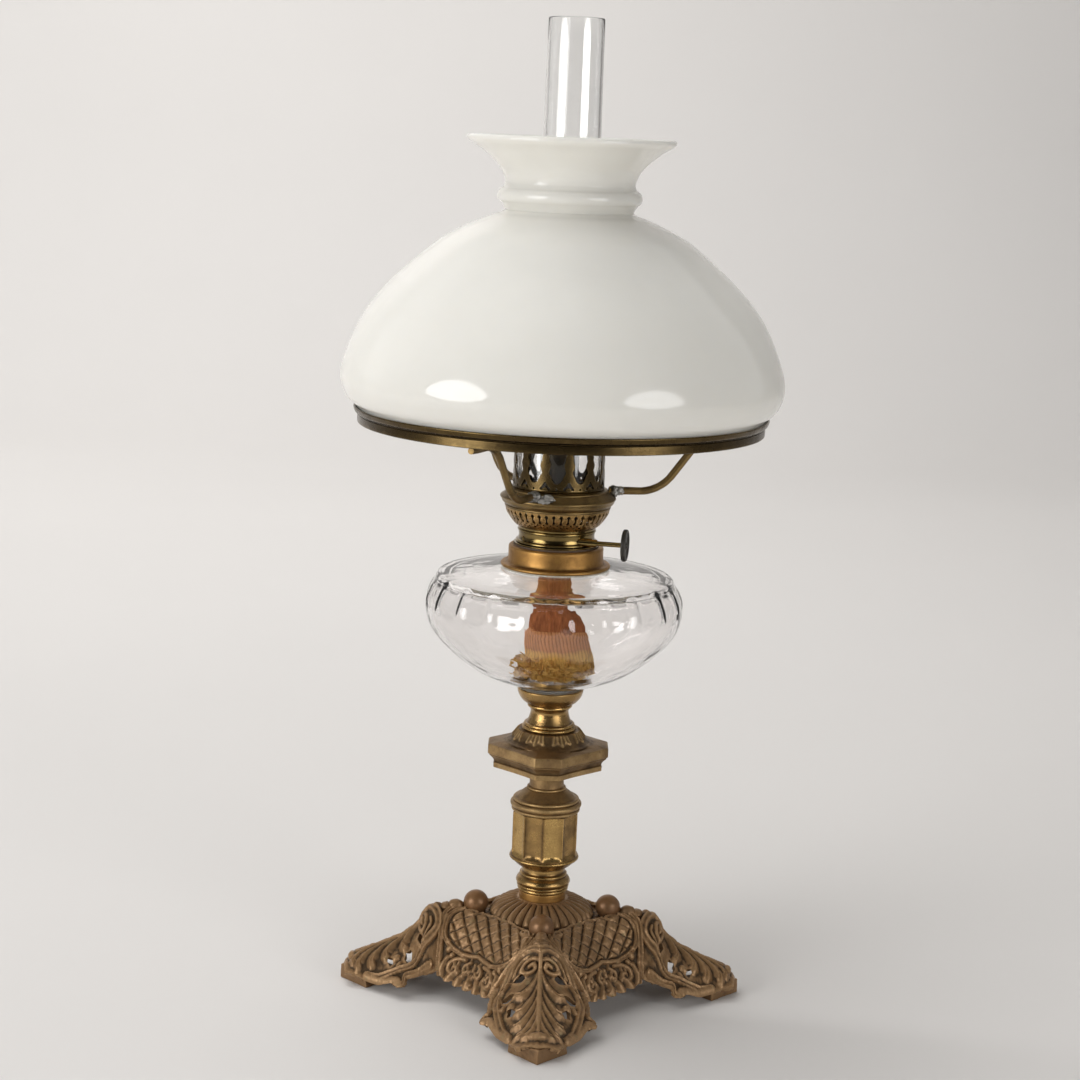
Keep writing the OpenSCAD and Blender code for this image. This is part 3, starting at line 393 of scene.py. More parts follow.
def copies(piece, count, name):
    """The piece and its copies turned round the upright axis, each with its own mesh."""
    made = [piece]
    for i in range(1, count):
        take(piece)
        bpy.ops.object.duplicate(linked=False)
        other = named(f"{name}_{i + 1}")
        other.data.transform(Matrix.Rotation(FULL_TURN * i / count, 4, "Z"))
        made.append(other)
    named(f"{name}_1", piece)
    return made


def join(first, *others):
    take(first, *others)
    bpy.ops.object.join()
    return bpy.context.object


def mark(piece, values):
    """Keeps a value per point for the finish to read: 0.5 is flat, above is a hollow, below an edge."""
    layer = piece.data.attributes.get("hollow") or piece.data.attributes.new("hollow", "FLOAT", "POINT")
    layer.data.foreach_set("value", np.clip(values, 0, 1).astype(np.float32))


def marks_of(piece):
    """The values that mark() kept."""
    return read(piece.data.attributes["hollow"].data, "value", 1, np.float32)[:, 0]


def mark_turned_hollows(piece, line, reach=1.4, full=0.5):
    """Hollows and edges of a turned piece, from its own line."""
    p, step = np.array(line, float), 0.2
    far = run_along(p)
    even = np.linspace(0, far[-1], max(int(far[-1] / step), 8))
    q = np.stack([np.interp(even, far, p[:, 0]), np.interp(even, far, p[:, 1])], 1)
    n = max(int(reach / step), 1)
    kernel = np.ones(2 * n + 1) / (2 * n + 1)
    soft = np.stack([np.convolve(np.pad(q[:, i], n, mode="edge"), kernel, "valid") for i in (0, 1)], 1)
    t = np.gradient(q, axis=0)
    t /= np.maximum(np.linalg.norm(t, axis=1), 1e-9)[:, None]
    out = np.stack([t[:, 1], -t[:, 0]], 1)
    depth = ((soft - q) * out).sum(1)
    co = corners_of(piece)
    rz = np.stack([polar(co)[0], co[:, 2]], 1)
    _, found = nearest(rz, q[::2], depth[::2, None])
    mark(piece, 0.5 + 0.5 * found[:, 0] / full)


def mark_hollows(piece, rounds=14, full=0.5):
    """Hollows and edges of a cast piece, from how far its surface lies below its own smoothed shape."""
    mesh = piece.data
    co = corners_of(piece)
    a, b = read(mesh.edges, "vertices", 2).T
    count = np.maximum(np.bincount(np.r_[a, b], minlength=len(co)), 1)[:, None]
    soft = co.copy()
    for _ in range(rounds):
        total = np.stack([np.bincount(np.r_[a, b], weights=np.r_[soft[b, i], soft[a, i]], minlength=len(co))
                          for i in range(3)], 1)
        soft = 0.3 * soft + 0.7 * total / count
    depth = ((soft - co) * read(mesh.vertices, "normal", 3, np.float32)).sum(1)
    mark(piece, 0.5 + 0.5 * depth / full)


def dress(piece, body, finish, slot, *nodes):
    """Gives a piece its finish and the body it rides on, and hides the CAD nodes that it stands for; the slot is
    not used.
    """
    piece.data.materials.clear()
    piece.data.materials.append(finish)
    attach(piece, body)
    if nodes:
        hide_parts(*nodes)
    return piece


# Finishes


def node_group(name, inputs, outputs):
    tree = bpy.data.node_groups.new(name, "ShaderNodeTree")
    for label, value in inputs:
        kind = "NodeSocketVector" if value is None else "NodeSocketFloat"
        socket = tree.interface.new_socket(name=label, in_out="INPUT", socket_type=kind)
        if value is not None:
            socket.default_value = value
    for label in outputs:
        tree.interface.new_socket(name=label, in_out="OUTPUT", socket_type="NodeSocketFloat")
    return tree, tree.nodes.new("NodeGroupInput"), tree.nodes.new("NodeGroupOutput")


def feed(tree, socket, value):
    """Sets a node's input, or links it where the value comes from another node."""
    if isinstance(value, bpy.types.NodeSocket):
        tree.links.new(value, socket)
    else:
        socket.default_value = value


def put(tree, node, **values):
    """Feeds a node's inputs; the spaces in their labels are written as underscores."""
    for label, value in values.items():
        feed(tree, node.inputs[label.replace("_", " ")], value)


def ramp(tree, value, low, high, to_low=0.0, to_high=1.0):
    """A value stretched from low..high to another range."""
    node = tree.nodes.new("ShaderNodeMapRange")
    put(tree, node, Value=value, From_Min=low, From_Max=high, To_Min=to_low, To_Max=to_high)
    return node.outputs["Result"]


def maths(tree, operation, a, b):
    node = tree.nodes.new("ShaderNodeMath")
    node.operation = operation
    feed(tree, node.inputs[0], a)
    feed(tree, node.inputs[1], b)
    return node.outputs[0]


def mixed(tree, factor, a, b):
    """Colour a turning to colour b by a factor."""
    node = tree.nodes.new("ShaderNodeMix")
    node.data_type = "RGBA"
    put(tree, node, Factor=factor)
    for socket, value in ((node.inputs[6], a), (node.inputs[7], b)):
        feed(tree, socket, (*value, 1) if isinstance(value, tuple) else value)
    return node.outputs[2]


def noise(tree, vector, scale, detail=4.0, rough=0.55, stretch=None):
    node = tree.nodes.new("ShaderNodeTexNoise")
    if stretch is not None:
        mapping = tree.nodes.new("ShaderNodeMapping")
        put(tree, mapping, Vector=vector, Scale=stretch)
        vector = mapping.outputs[0]
    put(tree, node, Vector=vector, Scale=scale, Detail=detail, Roughness=rough)
    return node.outputs["Fac"]


def patina_group():
    """Blotches, fine grain and small spots of an aged metal."""
    if "Patina" in bpy.data.node_groups:
        return bpy.data.node_groups["Patina"]
    tree, start, end = node_group(
        "Patina", [("Place", None), ("Blotch Scale", 60.0), ("Grain Scale", 1200.0), ("Spot Scale", 260.0)],
        ["Blotch", "Grain", "Spots"])
    place = start.outputs["Place"]
    blotch = ramp(tree, noise(tree, place, start.outputs["Blotch Scale"], 6, 0.62), 0.36, 0.66)
    grain = noise(tree, place, start.outputs["Grain Scale"], 5, 0.7)
    spots = ramp(tree, noise(tree, place, start.outputs["Spot Scale"], 3, 0.6), 0.62, 0.7)
    put(tree, end, Blotch=blotch, Grain=grain, Spots=spots)
    return tree


def dirt_shade_and_rub_group():
    """Dirt with painted shade in the hollows, and rubbed edges with painted highlights, from the piece's own
    hollow value.
    """
    if "Wear" in bpy.data.node_groups:
        return bpy.data.node_groups["Wear"]
    tree, start, end = node_group("Wear", [("Hollow", 0.5), ("Break", 0.5)], ["Dirt", "Rub"])
    broken = ramp(tree, start.outputs["Break"], 0, 1, -0.12, 0.12)
    uneven = maths(tree, "ADD", start.outputs["Hollow"], broken)
    # Dirt and painted shade where the piece is hollow; rubbed metal and painted highlight where it stands out.
    put(tree, end, Dirt=ramp(tree, uneven, 0.52, 0.86), Rub=ramp(tree, uneven, 0.4, 0.06))
    return tree


def new_finish(name):
    finish = bpy.data.materials.new(name)
    finish.use_nodes = True
    tree = finish.node_tree
    place = tree.nodes.new("ShaderNodeTexCoord").outputs["Object"]
    return finish, tree, tree.nodes["Principled BSDF"], place


def bump(tree, shader, height, depth):
    node = tree.nodes.new("ShaderNodeBump")
    put(tree, node, Height=height, Distance=depth, Strength=1.0)
    put(tree, shader, Normal=node.outputs["Normal"])


def hollow_value(tree):
    """The value that mark() kept on the piece."""
    node = tree.nodes.new("ShaderNodeAttribute")
    node.attribute_name = "hollow"
    return node.outputs["Fac"]


def metal(name, body, rubbed_highlight, dark, spot, rough=(0.25, 0.5), spots=0.3, metallic=1.0, grain=0.00006,
          scales=(60.0, 1200.0, 260.0), worn=0.5, gloss=0.5):
    """An aged metal: bright where rubbed, with painted highlights on the edges; dark and dull in the hollows, from
    dirt and painted shade; blotched and spotted between.
    """
    finish, tree, shader, place = new_finish(name)
    patina = tree.nodes.new("ShaderNodeGroup")
    patina.node_tree = patina_group()
    put(tree, patina, Place=place, Blotch_Scale=scales[0], Grain_Scale=scales[1], Spot_Scale=scales[2])
    blotch, grains, spotted = (patina.outputs[k] for k in ("Blotch", "Grain", "Spots"))
    wear_and_light = tree.nodes.new("ShaderNodeGroup")
    wear_and_light.node_tree = dirt_shade_and_rub_group()
    put(tree, wear_and_light, Hollow=hollow_value(tree), Break=blotch)
    # Edges turn to the rubbed highlight colour: real rubbing and a painted highlight; worn sets how far.
    rub_and_highlight = maths(tree, "MULTIPLY", wear_and_light.outputs["Rub"], ramp(tree, grains, 0.35, 0.6, 0.4 * worn, worn))
    dull = maths(tree, "MULTIPLY", blotch, 0.55)
    colour = mixed(tree, dull, body, tuple(0.55 * b + 0.45 * d for b, d in zip(body, dark)))
    colour = mixed(tree, rub_and_highlight, colour, rubbed_highlight)
    # Hollows turn to the dark colour: dirt and painted shade.
    colour = mixed(tree, wear_and_light.outputs["Dirt"], colour, dark)
    colour = mixed(tree, maths(tree, "MULTIPLY", spotted, spots), colour, spot)
    uneven = maths(tree, "MAXIMUM", wear_and_light.outputs["Dirt"], maths(tree, "MULTIPLY", blotch, 0.7))
    put(tree, shader, Base_Color=colour, Roughness=ramp(tree, uneven, 0, 1, *rough), Metallic=metallic,
        Specular_IOR_Level=gloss)
    bump(tree, shader, grains, grain)
    return finish


def aged_metals():
    """Values of each metal for metal(): colours of the body, the rubbed edges with their painted highlight, the
    dirt with its painted shade and the spots, roughness clean and dirty, share of spots, metallic, depth of the
    grain, scales of blotches, grain and spots, wear, which sets how strong the rubbed edges and their painted
    highlight are, and gloss."""
    return {
        "bronze": (picked("bronze"), (0.46, 0.285, 0.14), (0.065, 0.039, 0.018), (0.22, 0.17, 0.08),
                   (0.34, 0.58), 0.45, 0.45, 0.00016, (55, 900, 190), 0.55, 0.4),
        "ball_bronze": ((0.21, 0.108, 0.046), (0.34, 0.2, 0.1), (0.06, 0.032, 0.016), (0.13, 0.085, 0.045),
                        (0.32, 0.5), 0.4, 0.4, 0.00007, (110, 900, 260), 0.4, 0.4),
        "gilding": (picked("gilding"), (0.72, 0.48, 0.17), (0.09, 0.054, 0.025), (0.17, 0.1, 0.046),
                    (0.2, 0.45), 0.5, 0.95, 0.00012, (75, 1000, 230), 0.55),
        "plate_bronze": ((0.25, 0.155, 0.068), (0.62, 0.42, 0.18), (0.05, 0.03, 0.014), (0.12, 0.07, 0.035),
                         (0.38, 0.6), 0.55, 0.8, 0.00018, (90, 900, 260), 0.6),
        "collar_gilt": ((0.38, 0.2, 0.055), (0.62, 0.39, 0.14), (0.1, 0.052, 0.018), (0.2, 0.1, 0.034),
                        (0.34, 0.56), 0.45, 0.85, 0.00014, (95, 1300, 320)),
        # Crown and ring: aged brass, made darker still as painted shade under the shade.
        "aged_brass": (picked("brass"), (0.4, 0.28, 0.11), (0.02, 0.014, 0.008), (0.05, 0.03, 0.018),
                       (0.18, 0.4), 0.5, 1.0, 0.00006, (85, 1500, 300), 0.22),
        "dull_brass": (picked("brass", 2.7), (0.3, 0.21, 0.095), (0.025, 0.018, 0.011), (0.09, 0.055, 0.035),
                       (0.32, 0.55), 0.5, 1.0, 0.00008, (90, 1400, 280), 0.25),
        "basket_brass": ((0.37, 0.225, 0.085), (0.66, 0.46, 0.2), (0.036, 0.024, 0.012), (0.22, 0.09, 0.03),
                         (0.25, 0.45), 0.5, 1.0, 0.00006, (110, 1500, 300), 0.3),
        "polished_brass": ((0.22, 0.155, 0.058), (0.55, 0.41, 0.17), (0.035, 0.024, 0.011),
                           (0.1, 0.062, 0.028), (0.1, 0.28), 0.3, 1.0, 0.00003, (70, 1800, 280), 0.3),
        # Near-black brass of the wick tubes: soot, and painted shade for the dark inside of the burner.
        "sooty_brass": ((0.022, 0.016, 0.01), (0.1, 0.07, 0.028), (0.006, 0.005, 0.004), (0.05, 0.03, 0.015),
                        (0.45, 0.7), 0.5, 0.8, 0.00008, (140, 1500, 300), 0.3),
        "knob_brass": ((0.06, 0.056, 0.05), (0.15, 0.14, 0.12), (0.018, 0.016, 0.014), (0.1, 0.1, 0.085),
                       (0.38, 0.6), 0.4, 0.8, 0.0001, (240, 1500, 500), 0.3),
        "solder": ((0.3, 0.29, 0.27), (0.5, 0.49, 0.47), (0.09, 0.085, 0.075), (0.2, 0.17, 0.13), (0.4, 0.65),
                   0.4, 0.9, 0.0003, (200, 900, 400)),
        "steel": ((0.26, 0.255, 0.25), (0.45, 0.45, 0.45), (0.07, 0.06, 0.05), (0.16, 0.09, 0.05),
                  (0.35, 0.6), 0.4, 1.0, 0.00006, (120, 1500, 300)),
    }


def finish_for(key):
    """A finish of the lamp, made the first time that it is asked for."""
    name = f"lamp_{key}"
    if name in bpy.data.materials:
        return bpy.data.materials[name]
    metals = aged_metals()
    return metal(name, *metals[key]) if key in metals else FINISHES[key](name)


def grainy(name, scale, detail, roughness, dark, light, dull, gloss=0.5, depth=0.0, spread=(0.0, 1.0)):
    """A dull finish that one noise mottles."""
    finish, tree, shader, place = new_finish(name)
    grain = noise(tree, place, scale, detail, roughness)
    mottled = mixed(tree, ramp(tree, grain, *spread), dark, light)
    put(tree, shader, Base_Color=mottled, Roughness=dull, Specular_IOR_Level=gloss)
    if depth:
        bump(tree, shader, grain, depth)
    return finish


def plaster_finish(key):
    return grainy(key, 900.0, 6, 0.7, (0.42, 0.38, 0.3), (0.66, 0.63, 0.54), 0.85, 0.5, 0.0002, (0.35, 0.65))


def leather_finish(key):
    return grainy(key, 1500.0, 5, 0.65, (0.03, 0.02, 0.012), (0.13, 0.08, 0.045), 0.7, 0.5, 0.0001)


def paper_finish(key):
    return grainy(key, 1.2, 3, 0.5, picked("backdrop", 0.985), picked("backdrop", 1.015), 0.75, 0.25,
                  spread=(0.3, 0.7))


def glass(key, tint, ripple, scale):
    """Clear glass with faint ripples from the mould and a little dust."""
    finish, tree, shader, place = new_finish(key)
    dust = noise(tree, place, 420.0, 5, 0.65)
    dusty = mixed(tree, ramp(tree, dust, 0.45, 0.75), tint, scaled(tint, 0.97))
    put(tree, shader, Base_Color=dusty, Roughness=ramp(tree, dust, 0.4, 0.8, 0.0, 0.045),
        Transmission_Weight=1.0, IOR=1.5)
    bump(tree, shader, noise(tree, place, scale, 2, 0.5), ripple)
    return finish


def font_glass(key):
    return glass(key, (0.985, 0.972, 0.968), 0.00035, 45.0)


def chimney_glass(key):
    return glass(key, (0.99, 0.992, 0.99), 0.000015, 25.0)


def opal_finish(key):
    finish, tree, shader, place = new_finish(key)
    cloud = noise(tree, place, 14.0, 4, 0.55)
    milky = mixed(tree, ramp(tree, cloud, 0.35, 0.65), picked("opal", 0.975), picked("opal", 1.015))
    smear = noise(tree, place, 60.0, 5, 0.6)
    put(tree, shader, Base_Color=milky, Roughness=ramp(tree, smear, 0.35, 0.75, 0.07, 0.16), IOR=1.5,
        Subsurface_Weight=0.25, Subsurface_Radius=(0.012, 0.011, 0.0095), Subsurface_Scale=1.0)
    bump(tree, shader, noise(tree, place, 24.0, 2, 0.5), 0.0006)
    return finish


WICK_RIBS_FROM = (0.2245, 0.2232)
WICK_GOLD_FROM = (0.211, 0.206)


def cotton_finish(key):
    """Oil-stained cotton: red-brown above, tan and brown ribs below, golden at the frayed foot."""
    finish, tree, shader, place = new_finish(key)
    parts = tree.nodes.new("ShaderNodeSeparateXYZ")
    tree.links.new(place, parts.inputs[0])
    groove = hollow_value(tree)
    thread = noise(tree, place, 900.0, 4, 0.6, (1.0, 1.0, 0.16))
    stain = noise(tree, place, 70.0, 5, 0.6)
    colour = mixed(tree, ramp(tree, thread, 0.3, 0.7), picked("cotton", 0.75), picked("cotton", 1.5))
    ribs = mixed(tree, ramp(tree, groove, 0.2, 0.9), (0.66, 0.29, 0.11), (0.26, 0.062, 0.02))
    gold = mixed(tree, ramp(tree, groove, 0.1, 0.9), (0.95, 0.6, 0.17), (0.6, 0.3, 0.06))
    height = maths(tree, "ADD", parts.outputs["Z"], ramp(tree, stain, 0.2, 0.8, -0.004, 0.004))
    colour = mixed(tree, ramp(tree, parts.outputs["Z"], *WICK_RIBS_FROM), colour, ribs)
    colour = mixed(tree, ramp(tree, height, *WICK_GOLD_FROM), colour, gold)
    oily = maths(tree, "MULTIPLY", ramp(tree, stain, 0.55, 0.75), 0.35)
    colour = mixed(tree, oily, colour, (0.11, 0.04, 0.018))
    put(tree, shader, Base_Color=colour, Roughness=0.85, Specular_IOR_Level=0.15)
    bump(tree, shader, thread, 0.0003)
    return finish


FINISHES = {
    "plaster": plaster_finish, "leather": leather_finish, "paper": paper_finish, "font_glass": font_glass,
    "chimney_glass": chimney_glass, "opal": opal_finish, "cotton": cotton_finish,
}


# Places in the frame, in millimetres


def span(node):
    """Lowest and highest corner of a CAD node, in mm."""
    low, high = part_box(node)
    return np.array(low) / MM, np.array(high) / MM


def foot_of(node):
    return float(span(node)[0][2])


def top_of(node):
    return float(span(node)[1][2])


def measures(node):
    """Foot, half width and height of a CAD node, in mm."""
    low, high = span(node)
    return float(low[2]), float(high[0] - low[0]) / 2, float(high[2]) - float(low[2])


def raised(line, z):
    return [(r, h + z) for r, h in line]


# Radii and heights that more than one piece needs
ROD_HOLE = 4.4
STEM_R = 12.8
FONT_NECK = 9.0
FONT_SHOULDER = 4.6
BURNER_R = 23.0
BAND_R = 31.1
SEAT_R = 27.4
KNOB_OUT = 43.4
KNOB_THICK = 2.6


def lumpy_ball(name, place, radii, segments=32, rings=20, lump=0.0, seed=1):
    """A cast ball or blob: a sphere stretched to three radii and roughened, in mm."""
    let_go()
    bpy.ops.mesh.primitive_uv_sphere_add(segments=segments, ring_count=rings, radius=1)
    piece = named(name)
    co = corners_of(piece) * MM
    rng = np.random.default_rng(seed)
    swell = np.ones(len(co))
    for _ in range(10):
        swell += lump * 0.3 * np.sin(co @ rng.normal(size=3) * rng.uniform(2, 7) + rng.uniform(0, 6))
    shape(piece, co * swell[:, None] * np.array(radii) + np.array(place))
    mark(piece, np.full(len(co), 0.5))
    return smooth(piece, 60)


# The cast base


CREST = [(44, 49), (50, 50), (62, 48.6), (66, 47.6), (68.9, 46.4), (71.5, 42), (72.9, 38.5), (76, 34.5),
         (80.6, 30.4), (84.8, 27.4), (97, 22), (108.6, 17.7), (117, 13.5), (120.6, 9.5)]
LEG_STEPS = 8
LEG_LINE = np.array(smooth_line(CREST, LEG_STEPS))
LEG_RUN = run_along(LEG_LINE)
LEG_RUN -= LEG_RUN[3 * LEG_STEPS]
RAIL = ([44, 62, 70, 76, 84, 97, 106, 117, 121], [19, 19, 15.5, 12.5, 9, 8, 8, 8.5, 8.7])
LEG_WIDTH = ([44, 62, 66, 70, 76, 84, 90, 97, 106, 117, 121],
             [26, 26, 27, 28, 29.5, 31.5, 27, 21, 16, 13, 12])
LEG_EDGE = [(0, -8), (25.5, -8), (27.5, -3), (28.5, 2), (29.3, 14), (29.6, 22), (32, 22.5), (33.6, 26), (33, 28.5),
            (28.5, 33), (25, 40), (21, 47), (17.5, 53), (15, 58), (13, 66), (0, 69)]
LEG_HOLES = [
    [(8.5, 14.5), (10, 10.5), (13, 9.8), (16, 11.5), (13.5, 14), (11, 15.8)],
    [(14.5, 21), (17, 19.4), (21.5, 19.5), (21.5, 23), (18.5, 25.5), (16, 24.5)],
    [(12.8, 35.8), (14.2, 33), (18, 32.5), (18.4, 35.4), (15, 37)],
]
LEAF_LOBES = [
    [(0.9, 14), (2.2, 19.5), (5.5, 24.2), (9.6, 26.4), (13.4, 25)],
    [(0.9, 21), (2.4, 28.5), (5.6, 34.6), (9.4, 38.4), (12.8, 38)],
    [(0.8, 28), (2.2, 36.5), (5.4, 43.2), (9.8, 47.4), (14, 47)],
    [(0.7, 35.5), (1.9, 44.5), (4.6, 51.6), (8.4, 56), (12, 56.4)],
    [(0.5, 44), (1.3, 51), (3, 56.4), (5.8, 59.6), (8, 59.8)],
]
LEG_MARGIN = (36.0, 24.0)
LEG_CELL = 0.5


def leg_surface(s, y):
    """The leg's smooth surface: s to one side of its ridge, y down along the ridge from the arch's top."""
    out = np.interp(y, LEG_RUN, LEG_LINE[:, 0])
    ridge = np.interp(y, LEG_RUN, LEG_LINE[:, 1])
    fall = ridge - np.interp(out, *RAIL)
    side = np.minimum(np.abs(s) / np.interp(out, *LEG_WIDTH), 1.15)
    return np.column_stack([-s, -out, ridge - fall * side**1.5])


def on_surface(surface, a, b, height):
    """Points of a surface, raised along its normals."""
    h = 0.4
    across = surface(a + h, b) - surface(a - h, b)
    down = surface(a, b + h) - surface(a, b - h)
    normal = np.cross(across, down)
    normal /= np.maximum(np.linalg.norm(normal, axis=1), 1e-9)[:, None]
    return surface(a, b) + normal * np.asarray(height)[:, None]


def both_sides(corners):
    return list(corners) + [(-x, y) for x, y in reversed(corners) if x > 0]


def leg_keep(p):
    """How far points of the flat leg lie inside its metal."""
    q = np.column_stack([np.abs(p[:, 0] - LEG_MARGIN[0]), p[:, 1] - LEG_MARGIN[1]])
    metal = inside_polygon(q, both_sides(LEG_EDGE))
    for hole in LEG_HOLES:
        metal = np.minimum(metal, -inside_polygon(q, hole))
    return metal


def leg_strokes():
    """The leg's ornament on one side: arch, volute, bands, rail, bracket and the acanthus leaf."""
    strokes = [
        ([(0.5, 0.8), (3, -1.6), (7.5, -3.8), (11.8, -3.4), (15, 0.2), (17.6, 4.8), (19.4, 8.8), (21, 12)],
         [2.8, 2.5], [2.6, 2.4], grooved_band),
        ([(1, 7), (4.2, 5), (8.5, 5), (10.8, 8), (9.2, 11), (5.5, 13), (2.8, 11.6), (3.8, 8.5), (5.8, 8.6)],
         [1.4, 1.5, 1.6], [1.6, 2.0, 2.4], round_back),
        ([(18.5, 10.8), (22, 14), (24, 20), (23.8, 28), (22.2, 36), (19.6, 43.6), (16.4, 49.6)],
         [2.4, 2.2, 1.6], [2.4, 2.4, 1.8], grooved_band),
        ([(25.5, 0), (27, 8), (27.6, 17), (28, 23.5), (31, 24.5), (32, 27)], [1.8], [2.0], grooved_band),
        ([(32, 27), (27.5, 31.5), (23.6, 38.6), (19.2, 46), (16.2, 51)], [2.3, 2.0, 1.8], [1.9], round_back),
        ([(28.6, 30.2), (31.2, 32.4)], [1.2], [2.0], round_back),
        ([(16, 30.6), (16.3, 31.4)], [2.3], [2.4], round_back),
        ([(20.5, 28.5), (20.8, 29.3)], [1.6], [1.8], round_back),
        ([(0, 3), (0, 30), (0, 58)], [1.2, 1.7, 1.3], [2.4, 3.0, 1.9], round_back),
        ([(5, 59.4), (2.5, 61.2), (0, 61.6)], [2.0, 2.6, 2.8], [1.6, 2.4, 2.6], round_back),
        ([(7, 1.5), (10, 1), (13.5, 4.4), (15.4, 8)], [1.0], [1.3], round_back),
    ]
    for i, lobe in enumerate(LEAF_LOBES):
        tall = 2.5 - 0.12 * i
        strokes.append((lobe, [1.2, 3.2, 4.7, 2.8], [tall * k for k in (0.7, 0.9, 1, 0.9)], soft_back))
        for off in (-1.7, 0.7):
            vein = [(x + 0.3 * off * k / 4, y + off * k / 4) for k, (x, y) in enumerate(lobe)]
            heights = [tall * k for k in (0.8, 1.14, 1.24, 1.05)]
            strokes.append((vein, [0.6, 1.0, 1.1, 0.7], heights, soft_back))
    return strokes


def stipple(p, seed=3, scale=1.0):
    """Fine unevenness of a sand casting, about -1 to 1."""
    rng = np.random.default_rng(seed)
    total = np.zeros(len(p))
    for _ in range(14):
        turn, wave = rng.uniform(0, FULL_TURN), rng.uniform(1.2, 4.2) / scale
        total += np.sin((p[:, 0] * math.cos(turn) + p[:, 1] * math.sin(turn)) * wave + rng.uniform(0, 6))
    return total / 5


def leg_place(p):
    s, y = p[:, 0] - LEG_MARGIN[0], p[:, 1] - LEG_MARGIN[1]
    q = np.column_stack([np.abs(s), y])
    high = relief_of(q, leg_strokes()) * sizes().relief
    high += 0.12 * stipple(p) + 0.12 * stipple(p, 13, 3.0) - 0.3
    return on_surface(leg_surface, s, y, high)


def foot_block():
    """Square foot turned corner outwards, with softened edges, along -Y."""
    reach = span("base_casting")[1][1]
    let_go()
    bpy.ops.mesh.primitive_cube_add(size=1)
    piece = named("foot")
    half = 24 / math.sqrt(2)
    co = corners_of(piece) * MM
    spin = np.array([[1, 1], [-1, 1]]) * half
    flat = co[:, :2] @ spin
    flat[:, 1] += -(reach - half) - 0.2
    shape(piece, np.column_stack([flat, (co[:, 2] + 0.5) * 8.7]))
    edit_all()
    bpy.ops.mesh.subdivide(number_cuts=7)
    bpy.ops.object.mode_set(mode="OBJECT")
    modify(piece, "BEVEL", width=0.7 * MM, segments=3)
    close_up()
    co = corners_of(piece)
    worn = 0.16 * stipple(co[:, [0, 2]] + co[:, [1, 1]], 5, 2.5)
    shape(piece, co + np.column_stack([worn, worn, np.where(co[:, 2] > 4, worn, 0)]))
    return smooth(piece, 50)


def legs():
    columns, rows = int(2 * LEG_MARGIN[0] / LEG_CELL), int((LEG_MARGIN[1] + 70) / LEG_CELL)
    piece = pierced("leg", columns, rows, LEG_CELL, leg_keep, leg_place)
    thicken(piece, 2.6)
    smooth(piece, 55)
    mark_hollows(piece, 20, 0.45)
    foot = foot_block()
    mark_hollows(foot, 4, 0.5)
    bud = lumpy_ball("bud", (0, -52.6, 48.6), (3.9, 5.2, 4.4), 28, 18, 0.03, 4)
    leaf = lumpy_ball("bud_leaf", (0, -58.5, 48.4), (4.6, 3.2, 2.6), 28, 18, 0.05, 6)
    piece = join(piece, foot, bud, leaf)
    return copies(piece, 4, "base_leg")


PANEL_RUN = [0, 5.2, 12.3, 20.7, 28, 37.6, 45.8, 51.4]
PANEL_EDGE = ([33, 37.5, 38.5, 34.6, 31, 26.8, 25, 24.4], [36, 41, 48.2, 52.9, 56.6, 60.8, 62.6, 63.4],
              [48.4, 48.4, 44.6, 38.3, 31.6, 21.8, 15, 10.6])
PANEL_MIDDLE = ([31, 36, 42, 47.5, 51.5, 56, 60.5, 63.4], [48.2, 46.8, 43, 36.6, 30.5, 22, 15.2, 10.4])
PANEL_LONG = 51.0
PANEL_HALF = 42.0
PANEL_CELL = 0.5
TRELLIS = [(0, 1.2), (20, 1), (28, 3), (31.4, 9), (30.4, 16), (26.6, 22.5), (20, 26.5), (12, 28.6), (5, 28),
           (0, 27)]
TRELLIS_PITCH = 6.9


def panel_surface(a, d):
    """The side panel's smooth surface, facing -Y: a across it, d down it from the dome's edge."""
    wide, edge_out, edge_z = (np.interp(d, PANEL_RUN, row) for row in PANEL_EDGE)
    mid_out, mid_z = (np.interp(d, PANEL_RUN, row) for row in PANEL_MIDDLE)
    t = np.clip(a / wide, -1.2, 1.2) ** 2
    return np.column_stack([-a, -(mid_out + (edge_out - mid_out) * t), mid_z + (edge_z - mid_z) * t])


def panel_keep(p):
    a, d = p[:, 0] - PANEL_HALF, p[:, 1]
    wide = np.interp(d, PANEL_RUN, PANEL_EDGE[0])
    lobe = 47.4 + 2.8 * np.sqrt(np.abs(np.cos(a * math.pi / 8.4))) - 0.004 * a * a
    return np.minimum(np.minimum(wide + 0.6 - np.abs(a), lobe - d), d + 1)


